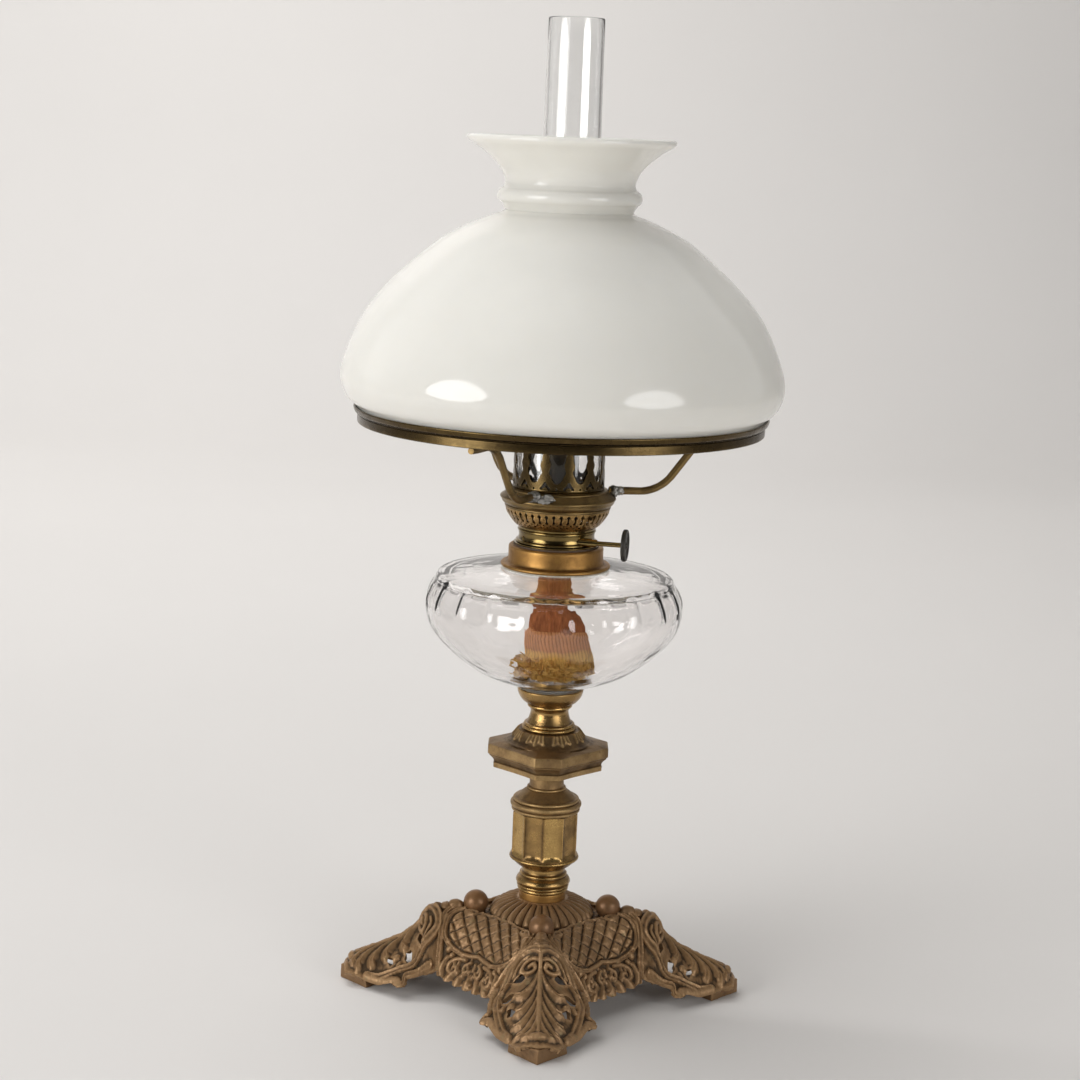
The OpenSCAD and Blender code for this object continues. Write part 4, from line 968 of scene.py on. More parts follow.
def panel_strokes():
    """The panel's ornament on one side: frame bands, scrolls, berries and the rough shell at the lower edge."""
    strokes = [
        ([(36.2, 4), (36.8, 10), (33.4, 19), (29.8, 27), (26.2, 36), (24, 43)], [2.0], [2.2], grooved_band),
        ([(30, 2), (33.4, 9), (32.4, 16.4), (28.4, 23.8), (21.4, 28.4), (13, 30.6)], [1.6], [2.0, 2.2, 1.8],
         grooved_band),
        ([(13, 30.6), (6, 30), (0, 28.6)], [1.5], [1.9], round_back),
        ([(27.5, 3.6), (24.6, 1.2), (20.6, 1.8), (20.4, 4.6), (23, 5.6), (24, 3.8)], [1.3, 1.5, 1.3], [1.8],
         round_back),
        ([(18.4, 0.8), (13, 1.6), (8, 0.6), (3, 1), (0, 0.4)], [1.4, 1.2, 1.4], [1.6, 1.9, 1.5], soft_back),
        ([(8, 33), (13.4, 33.4), (17.6, 36.4), (17.8, 41), (14.6, 43.2), (11.8, 41), (12.4, 38.6),
          (14.2, 38.6)], [1.5, 1.8, 1.5], [2.0, 2.4, 2.6], round_back),
        ([(22, 29.4), (22.3, 30)], [2.2], [2.6], round_back),
        ([(25.2, 25.8), (25.4, 26.4)], [1.5], [2.0], round_back),
        ([(18.6, 32.4), (18.9, 32.8)], [1.8], [2.4], round_back),
        ([(21.4, 34.4), (22.6, 41), (21, 47.4)], [2.2, 2.8, 2.2], [1.8, 2.6, 2.0], soft_back),
        ([(3.4, 33.4), (7.2, 36.6), (6, 40.4), (3.2, 38.6)], [1.2, 1.5, 1.2], [2.2], round_back),
    ]
    for x, y in ((0.0, 50.0), (8.4, 49.8), (16.4, 48.6)):
        lobe = [(x * 0.6, 40.6), (x * 0.9, 45), (x, y)]
        strokes.append((lobe, [2.0, 3.4, 3.6], [1.2, 2.6, 2.2], soft_back))
    rng = np.random.default_rng(17)
    for _ in range(34):
        x, y, turn = rng.uniform(0, 24), rng.uniform(31, 47), rng.uniform(-0.6, 0.6)
        long = rng.uniform(0.8, 2.6)
        tuft = [(x, y), (x + long * math.sin(turn), y + long * math.cos(turn))]
        strokes.append((tuft, [rng.uniform(1.0, 1.9)], [rng.uniform(1.0, 2.3)], soft_back))
    return strokes


def panel_place(p):
    a, d = p[:, 0] - PANEL_HALF, p[:, 1]
    q = np.column_stack([np.abs(a), d])
    high = relief_of(q, panel_strokes())
    pitch = TRELLIS_PITCH
    u, v = (a + d * 1.04) / math.sqrt(2), (a - d * 1.04) / math.sqrt(2)
    groove = np.minimum(*(np.abs((w / pitch) % 1 - 0.5) * pitch for w in (u, v)))
    slant = 0.75 * ((v / pitch + 0.5) % 1 - 0.5) - 0.75 * ((u / pitch + 0.5) % 1 - 0.5)
    pillow = ease(groove, 0.1, 1.0) * (1.15 + slant) + 0.35 * ease(groove, 0.4, 3.2)
    inside = ease(inside_polygon(q, both_sides(TRELLIS)), 0, 1)
    high = np.maximum(high, pillow * inside) * sizes().relief
    high += 0.14 * stipple(p, 8) + 0.12 * stipple(p, 12, 3.0) - 0.4
    return on_surface(panel_surface, a, d, high)


def side_panels():
    columns, rows = int(2 * PANEL_HALF / PANEL_CELL), int(PANEL_LONG / PANEL_CELL)
    piece = pierced("panel", columns, rows, PANEL_CELL, panel_keep, panel_place)
    thicken(piece, 2.4)
    smooth(piece, 55)
    mark_hollows(piece, 20, 0.7)
    piece.data.transform(Matrix.Rotation(FULL_TURN / 8, 4, "Z"))
    return copies(piece, 4, "base_panel")


def dome():
    """The gadrooned dome and the deck round it, square with blunt corners."""
    top = top_of("base_casting")
    line = [(ROD_HOLE, top - 3.4), (14, top - 3.4), (26, 50), (30, 44.5)]
    line += [(34, 44.4), (36.4, 44.6), (36.6, 45.6), (36.2, 46.2), (33.6, 46.4)]
    line += smooth_line(
        [(31.2, 46.6), (31, 48.4), (28.6, 51.6), (24.2, 54.2), (19, 56), (15.2, top - 0.15)], 8)
    line += [(14.6, top), (ROD_HOLE, top)]
    piece = turned("base_dome", line, 384, 50)
    co = corners_of(piece)
    r, turn = polar(co)
    wave = np.abs(np.sin(turn * sizes().gadroons / 2))
    deck = 45.8
    on_rib = fade(r, (14.8, 17.5), (31.3, 31.9)) * (co[:, 2] > deck)
    lift = sizes().gadroon_height / MM * (wave**0.8 - 0.62) * on_rib
    fall = np.column_stack([np.cos(turn) * 0.55, np.sin(turn) * 0.55, np.full(len(r), 0.8)])
    co += fall * lift[:, None]
    co[:, 2] += 0.1 * stipple(co[:, :2], 9, 1.6) * (co[:, 2] > deck)
    shape(piece, co)
    mark_hollows(piece, 8, 0.55)
    return smooth(piece, 50)


def balls():
    """Four plain balls, each cut flat where it stands on the deck."""
    low, high = span("corner_balls")
    seat = float(high[2] - low[2])
    r = 7.6
    reach = float(high[0]) - r
    z = float(high[2]) - r
    foot = math.degrees(math.asin((r - seat) / r))
    line = [(0, r - seat), (r * math.cos(math.radians(foot)), r - seat)] + bead(0, 0, r, foot, 90, 28)
    piece = turned("ball", [(max(a, 0.0), b) for a, b in line], 48, 50, closed=False)
    piece.data.transform(Matrix.Translation((0, -reach * MM, z * MM)))
    return copies(piece, 4, "corner_ball")


# The turned stem


def stem_line(*parts):
    """Joins lines and single points to one line from the rod hole round to the rod hole."""
    line = []
    for part in parts:
        line += part if isinstance(part, list) else [part]
    return [(ROD_HOLE, line[0][1])] + line + [(ROD_HOLE, line[-1][1])]


def base_collar():
    z, r, h = measures("base_collar")
    line = stem_line(
        bead(r - 0.6, 0.6, 0.6, -90, 0, 5), (r - 0.15, h * 0.5), bead(r - 0.8, h - 0.8, 0.8, 0, 90, 5))
    return turned("stem_collar", raised(line, z), 96)


def lower_knop():
    z, r, h = measures("lower_knop")
    line = stem_line(
        bead(r - 2.4, 1.3, 1.3, -90, 75, 10), bead(r - 1.7, 3.4, 1.1, -75, 62, 9),
        smooth_line([(r - 0.7, 4.5), (r, 6), (r - 0.8, 8), (r - 2.4, 9.4)], 6),
        bead(r - 3.0, 10.5, 0.9, -60, 85, 8), (STEM_R + 0.2, h - 2.2), (STEM_R, h - 1.6), (STEM_R, h))
    return turned("stem_knop", raised(line, z), 128)


def column_drum():
    """The drum: a bowl, a bead, and broad hollow flutes that meet in sharp edges, every other one painted dull and
    dark as painted shade.
    """
    z, r, h = measures("column_drum")
    bowl, n = 8.5, sizes().flutes
    line = stem_line(
        (STEM_R, 0), smooth_line([(STEM_R, 0.6), (r - 4, 2.6), (r - 0.4, bowl - 2.4)], 7),
        bead(r - 0.2, bowl - 1.3, 1, -75, 88, 10), (r - 0.2, bowl + 0.2),
        [(r, bowl + 0.5 + (h - bowl - 0.9) * t / 24) for t in range(25)], (r - 0.3, h - 0.1), (r - 1.6, h))
    piece = turned("stem_drum", raised(line, z), n * 24, 32)
    co = corners_of(piece)
    reach, turn = polar(co)
    flutes = (np.degrees(turn) + 93) / (360 / n)
    part = np.abs(flutes % 1 - 0.5) * 2
    on_side = reach > r - 0.5
    depth = sizes().flute_depth / MM * round_back(part)
    cut = depth * on_side * ease(co[:, 2] - z, bowl + 0.3, bowl + 2.6)
    push_out(co, -cut)
    shape(piece, co)
    # Every other flute is marked as a hollow so that the finish paints it darker, as painted shade, and the sharp
    # edges between flutes lighter, as painted highlight.
    dull = np.floor(flutes) % 2
    hollow = 0.08 + 0.5 * dull + 0.3 * part**3
    mark(piece, np.where(cut > 0, hollow, marks_of(piece)) - 0.2 * (part > 0.95) * on_side)
    return smooth(piece, 32)


def column_cap():
    z, r, tall = measures("column_cap")
    n, h = 10.4, 14.5
    line = stem_line(
        (r - 3, 0), bead(r - 2, 1.4, 1.2, -90, 72, 9), bead(r - 1.9, 4.6, 1.9, -78, 76, 12),
        bead(r - 2.7, 7.5, 1.1, -70, 85, 9),
        smooth_line([(r - 3.6, 8.7), (r - 6.6, 11.2), (n + 1.4, h - 0.8)], 7), bead(n + 0.6, h, 0.8, -70, 88, 8),
        (n, h + 1.0), (n - 0.1, h + tall * 0.25), (n, tall - 0.6), (n + 0.3, tall))
    piece = turned("stem_cap", raised(line, z), 128)
    # Hollow values weakened: less painted shade and more painted highlight on the cap.
    mark(piece, 0.6 * marks_of(piece))
    return piece


def blunt_square(turn, corner, side):
    """Distance of a blunt square's edge at a turn: corner along the axes, side between them."""
    a = np.abs((turn + math.pi / 4) % (math.pi / 2) - math.pi / 4)
    return np.minimum(corner / np.cos(a), side / np.cos(math.pi / 4 - a))


def square_plate():
    """Square plate with blunt corners and a stepped edge, and a bell-shaped dome with eight leaves on it."""
    z, reach, h = measures("square_plate")
    side = (reach + 15.7 / 2) / math.sqrt(2)
    edge = [(-3.9, 0), (-3.7, 0.2), (-3.6, 3.0), (-4.3, 3.5), (-4.2, 4.0), (-3.2, 5.6), (-1.6, 7.2), (-1.0, 7.6),
            (-1.0, 8.2), (-0.3, 8.6), (0, 9.0), (0, 13.6), (-0.4, 14.3), (-1.2, 14.6), (-2.2, 14.7), (-6.0, 15.6)]
    top = [(26.2, 16.0), (25.4, 16.6)]
    top += smooth_line([(24.6, 16.8), (22.6, 18), (20.4, 20.4), (18.4, 23.0), (16.9, h - 0.1)], 7)
    line = [(ROD_HOLE, 0)] + [(reach + x, y) for x, y in edge] + top + [(16.0, h), (ROD_HOLE, h)]
    piece = turned("stem_plate", raised(line, z), 360, 32)
    co = corners_of(piece)
    r, turn = polar(co)
    shift = blunt_square(turn, reach, side) - reach
    low = co[:, 2] - z
    part = np.where(low < 15, ease(r, 8, reach - 6), ease(r, 26.2, 29.6))
    push_out(co, shift * part)
    leaf_turn = np.degrees(turn) % 45 - 22.5
    along = (low - 17.6) / (h - 17.6)
    across = leaf_turn / (19.5 * (1.02 - 0.25 * np.clip(along, 0, 1)))
    frill = 0.2 - 0.12 * np.cos(across * 2.5 * math.pi) * (np.abs(across) < 1) + 0.2 * across**2
    leaf = ease(along, frill - 0.12, frill + 0.06) * (1 - ease(np.abs(across), 0.82, 1.0))
    leaf *= 1 - ease(along, 0.93, 1.0)
    veins = 0.55 + 0.45 * np.cos(across * 5 * math.pi)
    on_dome = (r < 25.6) * (low > 16.5)
    out = (1.1 * leaf * (0.4 + 0.6 * veins) - 0.2) * on_dome
    co[:, 0] += np.cos(turn) * out * 0.8
    co[:, 1] += np.sin(turn) * out * 0.8
    co[:, 2] += out * 0.5
    shape(piece, co)
    # Ground between the leaves marked darker and the leaves lighter: dirt and painted shade between, rubbed metal
    # and painted highlight on the leaves.
    mark(piece, marks_of(piece) + on_dome * (0.16 - 0.6 * leaf * veins))
    return smooth(piece, 32)


def font_cup():
    z, lip, h = measures("font_cup")
    w, f = 11.4, 16.5
    line = stem_line(
        (f - 1.4, 0), bead(f - 1.3, 1.2, 1.2, -85, 78, 9), bead(f - 2.2, 3.2, 1, -75, 80, 9),
        smooth_line([(f - 3, 4.3), (w + 0.8, 7.4), (w, 11), (w + 0.7, 13.3)], 7),
        bead(w + 0.9, 14.8, 1.2, -75, 75, 9),
        smooth_line([(w + 1.7, 16), (w + 4.8, 17.6), (lip - 1.3, h - 5), (lip - 0.1, h - 2)], 7),
        bead(lip - 0.6, h - 0.7, 0.6, -20, 90, 5), (lip - 1.6, h - 0.1), (lip - 2.4, h - 1.8), (w, h - 8.4))
    return turned("stem_cup", raised(line, z), 128)


# The oil font and its collar


def font_lines():
    """Outer and inner line of the font."""
    lip, neck, r, wall = top_of("font_cup"), top_of("font") - FONT_NECK, measures("font")[1], 2.8
    top, steps = neck - FONT_SHOULDER, 8
    outer = smooth_line(
        [(16.4, lip + 1), (23.4, lip + 3.1), (36, lip + 7.4), (r - 28.2, lip + 13.6), (r - 12.7, lip + 25.9),
         (r - 3, lip + 38.2), (r, lip + 52.2), (r - 2.2, top - 8.4), (70.9, top - 3.2)], steps)
    outer += bead(67.9, top - 2.6, 3.0, -6, 78, 12)
    outer += [(66, top + 0.6), (60, top + 1.3), (46, top + 3.2), (34.4, neck - 0.2), (26, neck), (26, neck + 9)]
    inner = [(23.8, neck + 9), (23.8, neck - wall), (58, top - wall + 1.0), (66, top - wall - 0.6)]
    below_bead = outer[:8 * steps - 2]
    side = [p for p in inset(below_bead, wall) if p[0] > 24]
    inner += list(reversed(side)) + [(20, lip + 5.8), (0, lip + 5.6)]
    return [(0, lip - 3.4), (12, lip - 3.4), (14.6, lip - 0.6)] + outer + inner


def font():
    """Blown and pressed font: upright shallow panels with rounded feet under the shoulder bead."""
    n = sizes().panels
    piece = turned("oil_font", font_lines(), n * 16, 50, closed=False)
    co = corners_of(piece)
    r, turn = polar(co)
    part = np.abs(((np.degrees(turn) + 90) / (360 / n) - 0.8 + 0.5) % 1 - 0.5) * 2
    down = top_of("font") - FONT_NECK - FONT_SHOULDER - 2.2 - co[:, 2]
    round_square = ((part / 0.95) ** 4 + (np.abs(down - 9.4) / 8.6) ** 4) ** 0.25
    outside = (r > measures("font")[1] - 7.5) & (co[:, 2] > 225)
    panel = ease(1 - round_square, 0, 0.36) * outside
    hollow = sizes().panel_depth / MM * (0.6 + 0.4 * np.maximum(1 - round_square**2, 0))
    push_out(co, -panel * hollow)
    shape(piece, co)
    return smooth(piece, 50)


def font_collar():
    z, r, tall = measures("font_collar")
    s, b = 28.2, 21.9
    line = [(s - 1.2, 0), (r - 0.8, 0)] + bead(r - 1.1, 1.1, 1.1, -80, 90, 8)
    line += [(r - 2.6, 2.25), (s + 0.9, 2.6)]
    line += smooth_line([(s + 0.5, 3.0), (s + 0.1, 4.4), (s, 7), (s, tall - 2.4)], 4)
    line += bead(s - 1.6, tall - 1.6, 1.6, 0, 90, 7)
    line += [(b, tall), (b, 1), (b + 1.2, 1), (b + 1.2, tall - 1.6), (s - 1.2, tall - 1.6)]
    return turned("font_screw_collar", raised(line, z), 144)


# The burner


SEAT = "chimney_gallery"


def burner_neck():
    r, p, plug, tube = BURNER_R, 21.6, 10.0, 11.4
    z0, deck = foot_of("burner_neck") + plug, top_of("burner_neck")
    line = [(p - 1, z0 - plug), (p, z0 - plug), (p, z0), (r + 2.0, z0), (r + 2.2, z0 + 0.3), (r + 2.2, z0 + 0.7)]
    line += bead(r + 0.3, z0 + 1.8, 0.9, -70, 80, 7)
    line += smooth_line([(r - 0.2, z0 + 3), (r - 0.5, z0 + 5), (r - 0.3, deck - 3.2)], 5)
    line += bead(r - 0.6, deck - 2, 0.9, -70, 75, 7)
    line += [(r - 0.1, deck - 0.9), (r, deck - 0.6), (r, deck), (tube, deck)]
    line += [(tube, deck - 1), (r - 1.4, deck - 1), (r - 1.4, z0 + 2.4), (p - 1, z0 + 1)]
    return turned("burner_neck_ring", line, 144)


def basket_line():
    deck, a, b = foot_of("air_basket"), BURNER_R, BAND_R
    return np.array(smooth_line(
        [(a + 0.1, deck + 0.1), (a + 3, deck + 2.4), (b - 1.2, deck + 7.8), (b, deck + 11.6)], 10))


def air_basket():
    """Pierced basket: arrow slots above two rows of round holes."""
    line = basket_line()
    run = run_along(line)
    n, per, rows = sizes().slots, 14, 46
    cell = run[-1] / rows
    head = [(0, 14.3), (1.35, 12.2), (0.55, 11.5), (0.45, 9.1), (1.0, 8.2), (0.8, 7.2), (0, 7.0)]

    def keep(p):
        v = p[:, 1]
        around = FULL_TURN * np.interp(v, run, line[:, 0]) / n
        u = np.abs((p[:, 0] / (cell * per)) % 1 - 0.5) * around
        q = np.column_stack([u, v])
        half = around / 2 - u
        metal = -inside_polygon(q, both_sides(head))
        for aside, up, radius in ((half, 6.3, 0.65), (u, 4.6, 0.7), (half, 3.0, 0.55)):
            metal = np.minimum(metal, np.hypot(aside, v - up) - radius)
        return metal

    def place(p):
        turn = p[:, 0] / (cell * per * n) * FULL_TURN
        r, z = np.interp(p[:, 1], run, line[:, 0]), np.interp(p[:, 1], run, line[:, 1])
        return np.column_stack([r * np.cos(turn), r * np.sin(turn), z])

    piece = pierced("burner_basket", n * per, rows, cell, keep, place)
    thicken(piece, 0.9)
    mark_hollows(piece, 6, 0.3)
    return smooth(piece, 40)


def burner_band():
    """Bulged band with drawn ridges, and the seat that the chimney stands on."""
    z, seat = foot_of("burner_band"), top_of("burner_band")
    b, m, c = BAND_R, 34.3, SEAT_R
    outer = bead(b - 0.4, z + 0.8, 0.75, -85, 60, 6)
    outer += smooth_line([(b + 0.4, z + 1.7), (b + 1.9, z + 3.2), (m - 0.7, z + 4.6)], 5)
    outer += bead(m - 0.9, z + 5.9, 0.9, -55, 80, 7)
    outer += smooth_line([(m - 1.3, z + 7.1), (m - 3.2, z + 8.6), (c + 2.4, z + 9.9)], 5)
    outer += bead(c + 1.5, z + 10.5, 0.7, -40, 85, 6) + [(c + 0.6, seat - 0.1)]
    inner = [(c, seat), (21, seat), (21, seat - 1), (c - 1.6, seat - 1.2), (m - 2.6, z + 6), (b - 1.6, z)]
    return turned("burner_bulge", outer + inner, 160, 36)


def chimney_gallery():
    """Pierced crown: open arches between trefoil posts, pointed holes under these, round ones under the arches."""
    z, r, h = measures(SEAT)
    n, per = sizes().arches, 36
    cell = FULL_TURN * r / (n * per)
    rows = int(round(h / cell))
    step = cell * per
    post = step / 2
    arch = [(0, 5.5), (1.6, 6.0), (2.9, 7.6), (3.7, 9.3), (4.2, 10.6), (4.9, 11.3), (5.2, 12.6), (4.7, 13.8),
            (4.3, 15.0), (4.0, 16.6), (4.6, 18.2), (5.2, 19.6), (4.9, 21), (5.5, 23), (6.4, 26), (post, 27.8),
            (post, 32)]
    point = [(0, 7.3), (0.9, 6.1), (2.0, 4.3), (3.4, 3.0), (3.2, 2.0), (2.0, 2.0), (1.4, 3.0), (0, 3.8)]
    scale = h / 28.0

    def keep(p):
        u = np.abs(((p[:, 0] / step) + 0.5) % 1 - 0.5) * step
        v = p[:, 1] / scale
        metal = -inside_polygon(np.column_stack([u, v]), both_sides(arch))
        metal = np.minimum(metal, -inside_polygon(np.column_stack([post - u, v]), both_sides(point)))
        return np.minimum(metal, np.hypot(u, v - 2.5) - 0.75)

    def place(p):
        turn = p[:, 0] / (step * n) * FULL_TURN - math.radians(92.5)
        flare = 0.35 * np.exp(-((p[:, 1] - 0.8) / 0.4) ** 2)
        far = r - 0.3 + flare
        return np.column_stack([far * np.cos(turn), far * np.sin(turn), z + p[:, 1]])

    piece = pierced("burner_crown", n * per, rows, cell, keep, place)
    thicken(piece, 0.8)
    mark_hollows(piece, 6, 0.3)
    return smooth(piece, 40)


ARM_TURNS = (5, 125, 245)


def arm_line():
    """Middle line of an arm along +X: level, up between two bends, level under the ring."""
    seat, ring, c = foot_of(SEAT), foot_of("shade_ring"), SEAT_R
    d, bend, slope, foot_r, end_r = 4.5, 23.6, 54, 48.0, 116.0
    low, high = seat - 1.2, ring - d / 2 + 0.5
    a = math.radians(slope)
    rise = high - low - 2 * bend * (1 - math.cos(a))
    far = foot_r + 2 * bend * math.sin(a) + rise / math.tan(a)
    line = [(c + 2.6, low), (40, low)] + bead(foot_r, low + bend, bend, -90, slope - 90, 14)
    return line + bead(far, high - bend, bend, slope + 90, 90, 14) + [(108, high - 0.05), (end_r, high - 0.1)]


def shade_arms():
    """Three drawn rods, a little uneven from the bending, flattened where they meet the ring."""
    line = arm_line()
    rods = []
    for i, turn in enumerate(ARM_TURNS):
        a = math.radians(turn)
        points = [(x * math.cos(a), x * math.sin(a), z) for x, z in line]
        radii = [2.25 + 0.05 * math.sin(1.7 * k + i) for k in range(len(line))]
        radii[-1] = 1.8
        rods.append(bar(f"arm_{i + 1}", points, radii, 7))
    piece = named("shade_rods", join(*rods))
    mark(piece, np.full(len(piece.data.vertices), 0.5))
    return piece


def solder_joints():
    """Rough grey solder where the rods meet the band, spread over it on the front left."""
    seat = foot_of(SEAT)
    blobs = []
    for i, turn in enumerate(ARM_TURNS):
        a = math.radians(turn)
        for k, (x, z, radii) in enumerate([(33.2, -1.5, (3.4, 3.9, 3.3)), (36.2, -1.3, (3.8, 3.2, 2.9))]):
            blob = lumpy_ball(f"solder_{i}{k}", (0, 0, 0), radii, 40, 26, 0.12, 11 + 7 * i + k)
            blob.data.transform(Matrix.Rotation(a, 4, "Z") @ Matrix.Translation((x * MM, 0, (seat + z) * MM)))
            blobs.append(blob)
    a = math.radians(ARM_TURNS[2])
    for k, (side, up, radii) in enumerate([(5.2, -3.6, (2.0, 4.6, 3.0)), (8.6, -2.2, (1.7, 3.4, 2.3))]):
        blob = lumpy_ball(f"solder_spread_{k}", (0, 0, 0), radii, 40, 26, 0.2, 51 + k)
        turn = Matrix.Rotation(a + side / 34.0, 4, "Z")
        blob.data.transform(turn @ Matrix.Translation((32.2 * MM, 0, (seat + up) * MM)))
        blobs.append(blob)
    piece = named("arm_solder", join(*blobs))
    mark_hollows(piece, 4, 0.3)
    return piece


def shade_ring():
    """Ring with a flat band, a groove and a rolled lip."""
    z, lip, tall = measures("shade_ring")
    r, h = lip - 2.4, 5.2
    line = [(112, 0), (r - 0.4, 0), (r, 0.4), (r + 0.05, 2.5), (r, h - 0.5), (r - 0.3, h - 0.2)]
    line += [(r - 0.2, h + 0.15)]
    line += smooth_line([(r + 0.4, h + 0.4), (r + 1.6, h + 1.3), (r + 2.1, h + 2.4)], 4)
    line += bead(r + 1.75, tall - 0.75, 0.65, -40, 140, 8)
    line += [(r + 0.8, h + 2.0), (r - 1, h + 0.6), (r - 1, 1), (112, 1)]
    return turned("shade_ring_band", raised(line, z), 256, 36)


# The wick and its works


def on_spindle(piece, out):
    """Turns a piece from upright to lie along the wick's spindle, that far out."""
    low, high = span("wick_spindle")
    z = float(low[2] + high[2]) / 2
    spindle = Matrix.Rotation(math.radians(-11), 4, "Z") @ Matrix.Translation((0, -14 * MM, z * MM))
    piece.data.transform(spindle @ Matrix.Translation((out * MM, 0, 0)) @ Matrix.Rotation(math.pi / 2, 4, "Y"))
    return piece


def wick_knob():
    """Plain dished disc with a rim and a worn milled edge."""
    r, t = 9.5, KNOB_THICK
    line = [(0, 0.3), (2.6, 0), (r - 0.9, 0)] + bead(r - 0.8, 0.8, 0.8, -80, 0, 6)
    line += bead(r - 0.8, t - 0.8, 0.8, 0, 90, 6) + [(r - 1.6, t - 0.1), (r - 2.2, t - 0.7)]
    line += bead(5.4, t - 0.75, 0.35, 0, 180, 6) + [(2.6, t - 0.6), (2.3, t - 0.3), (0, t - 0.3)]
    piece = turned("knob_disc", line, 120, 40, closed=False)
    co = corners_of(piece)
    reach, turn = polar(co)
    push_out(co, -0.12 * (0.5 + 0.5 * np.cos(turn * 60)) * (reach > r - 0.35))
    shape(piece, co)
    on_spindle(piece, KNOB_OUT - t / 2)
    return smooth(piece, 40)


def knob_rivet():
    line = [(0, -0.2), (1.75, -0.2), (1.75, 0.1)] + bead(0.7, 0, 1.0, 8, 90, 7) + [(0, 1.05)]
    piece = turned("knob_rivet_head", line, 32, 50, closed=False)
    return on_spindle(piece, KNOB_OUT + KNOB_THICK / 2 - 0.4)


WICK_R = 9.1
WICK_OPEN = 64
# Heights over which parts of the wick come and go, in mm
RIBS_END = (222.5, 225)
SEAM = ((224, 227), (262, 270))
HEM = ((223.2, 224.2), (228, 240))
HEM_EDGE = 223.4
CREASES = ((228, 234), (250, 260))
IN_TUBES = (258, 266)
YARNS = 230
HANGING_YARNS = 60
HEAP_R = 25.4


def wick_surface(u, z):
    """The wick's middle surface, u from -1 to 1 across it: round above, open and drawn aside at its foot."""
    low, bend = foot_of("wick"), top_of("font") - FONT_NECK - 16
    t = np.clip((z - low) / (bend - low), 0, 1)
    tail, shift = 24.0, 5.0
    r = tail * (1 - t)**3 + 3 * (tail - 2) * t * (1 - t)**2 + 3 * (WICK_R + 4) * t**2 * (1 - t) + WICK_R * t**3
    half = math.radians(180 - WICK_OPEN / 2) * WICK_R / r
    a = -math.pi / 2 + u * half
    return np.column_stack([shift * (1 - t)**2 + r * np.cos(a), r * np.sin(a) + r - WICK_R, z])


def wick():
    """Woven cotton wick: ribbed across its width, with a felled seam, creased above and frayed below."""
    let_go()
    ribs = sizes().wick_ribs
    columns, rows = ribs * 7, 130
    bpy.ops.mesh.primitive_grid_add(x_subdivisions=columns, y_subdivisions=rows, size=2)
    piece = named("cotton_wick")
    co = corners_of(piece) * MM
    u = co[:, 0]
    low, high = foot_of("wick"), top_of("wick")
    z = low + (co[:, 1] + 1) / 2 * (high - low)
    rib = np.abs(np.sin(u * ribs / 2 * math.pi)) - 0.64
    ribbed = 1 - ease(z, *RIBS_END)
    deep = 0.08 + 0.32 * ribbed
    weave = 0.06 * np.sin(z * 2 * math.pi / 1.1) * np.cos(u * ribs * math.pi)
    fold, stitch = np.exp(-((u + 0.1) / 0.03)**2), np.exp(-((u + 0.04) / 0.025)**2)
    seam = 0.5 * (fold - 1.2 * stitch) * fade(z, *SEAM)
    hem = 0.45 * fade(z, *HEM)
    crease = 0.3 * np.sin(z / 3.1 + 3 * u) * fade(z, *CREASES)
    inside_tubes = 1 - 0.75 * ease(z, *IN_TUBES)
    at = wick_surface(u, z)
    h = 0.01
    across = wick_surface(u + h, z) - wick_surface(u - h, z)
    normal = np.column_stack([across[:, 1], -across[:, 0], np.zeros(len(at))])
    normal /= np.linalg.norm(normal, axis=1)[:, None]
    shape(piece, at + normal * ((rib * deep + weave + seam + hem + crease) * inside_tubes)[:, None])
    mark(piece, 0.5 - rib * 1.3 * ribbed - 0.5 * fold * (1 - ribbed)
         + 0.35 * np.exp(-((z - HEM_EDGE) / 0.6)**2))
    edit_all()
    bpy.ops.mesh.normals_make_consistent(inside=False)
    bpy.ops.object.mode_set(mode="OBJECT")
    thicken(piece, 1.7, 0.0)
    return smooth(piece, 60)


def wick_fray():
    """The wick's frayed tail: wavy yarns that hang from its foot and lie in a heap in the font."""
    rng = np.random.default_rng(21)
    low, floor_z = foot_of("wick"), top_of("font_cup") + 6.7
    yarns = []
    for i in range(YARNS):
        t = np.linspace(0, 1, 13)
        wave = rng.uniform(0.6, 2.2) * np.sin(t * rng.uniform(5, 12) + rng.uniform(0, 6))
        if i < HANGING_YARNS:
            start = wick_surface(np.array([rng.uniform(-0.97, 0.97)]), np.array([low + 1.5]))[0, :2]
            turn = math.atan2(start[1], start[0]) + rng.uniform(-0.9, 0.9)
            along, lift = rng.uniform(2, 9) * t**1.5, (low + 1.5 - floor_z) * (1 - t) ** rng.uniform(0.8, 2.0)
        else:
            far, spread = rng.uniform(0, FULL_TURN), 23 * math.sqrt(rng.uniform(0, 1))
            start = np.array([spread * math.cos(far), spread * math.sin(far)])
            turn = rng.uniform(0, FULL_TURN)
            along = rng.uniform(8, 20) * (t - 0.5)
            lift = rng.uniform(0, 1) * 10.5 * (1 - (spread / 25) ** 2) + 0.7 * np.sin(t * rng.uniform(4, 9))
        x = start[0] + along * math.cos(turn) - wave * math.sin(turn)
        y = start[1] + along * math.sin(turn) + wave * math.cos(turn)
        r = np.hypot(x, y)
        inward = np.minimum(1, HEAP_R / np.maximum(r, 1e-6))
        x, y, r = x * inward, y * inward, r * inward
        z = floor_z + 0.36 * np.maximum(r - 19, 0) + np.maximum(lift, 0)
        thick = rng.uniform(0.5, 1.0)
        radii = thick * (1 - 0.6 * np.abs(2 * t - 1) ** 6)
        yarn = bar(f"yarn_{i}", np.column_stack([x, y, z + thick]), radii, 1)
        mark(yarn, np.full(len(yarn.data.vertices), rng.uniform(0.15, 0.8)))
        yarns.append(yarn)
    return named("wick_threads", join(*yarns))


# The chimney and the shade


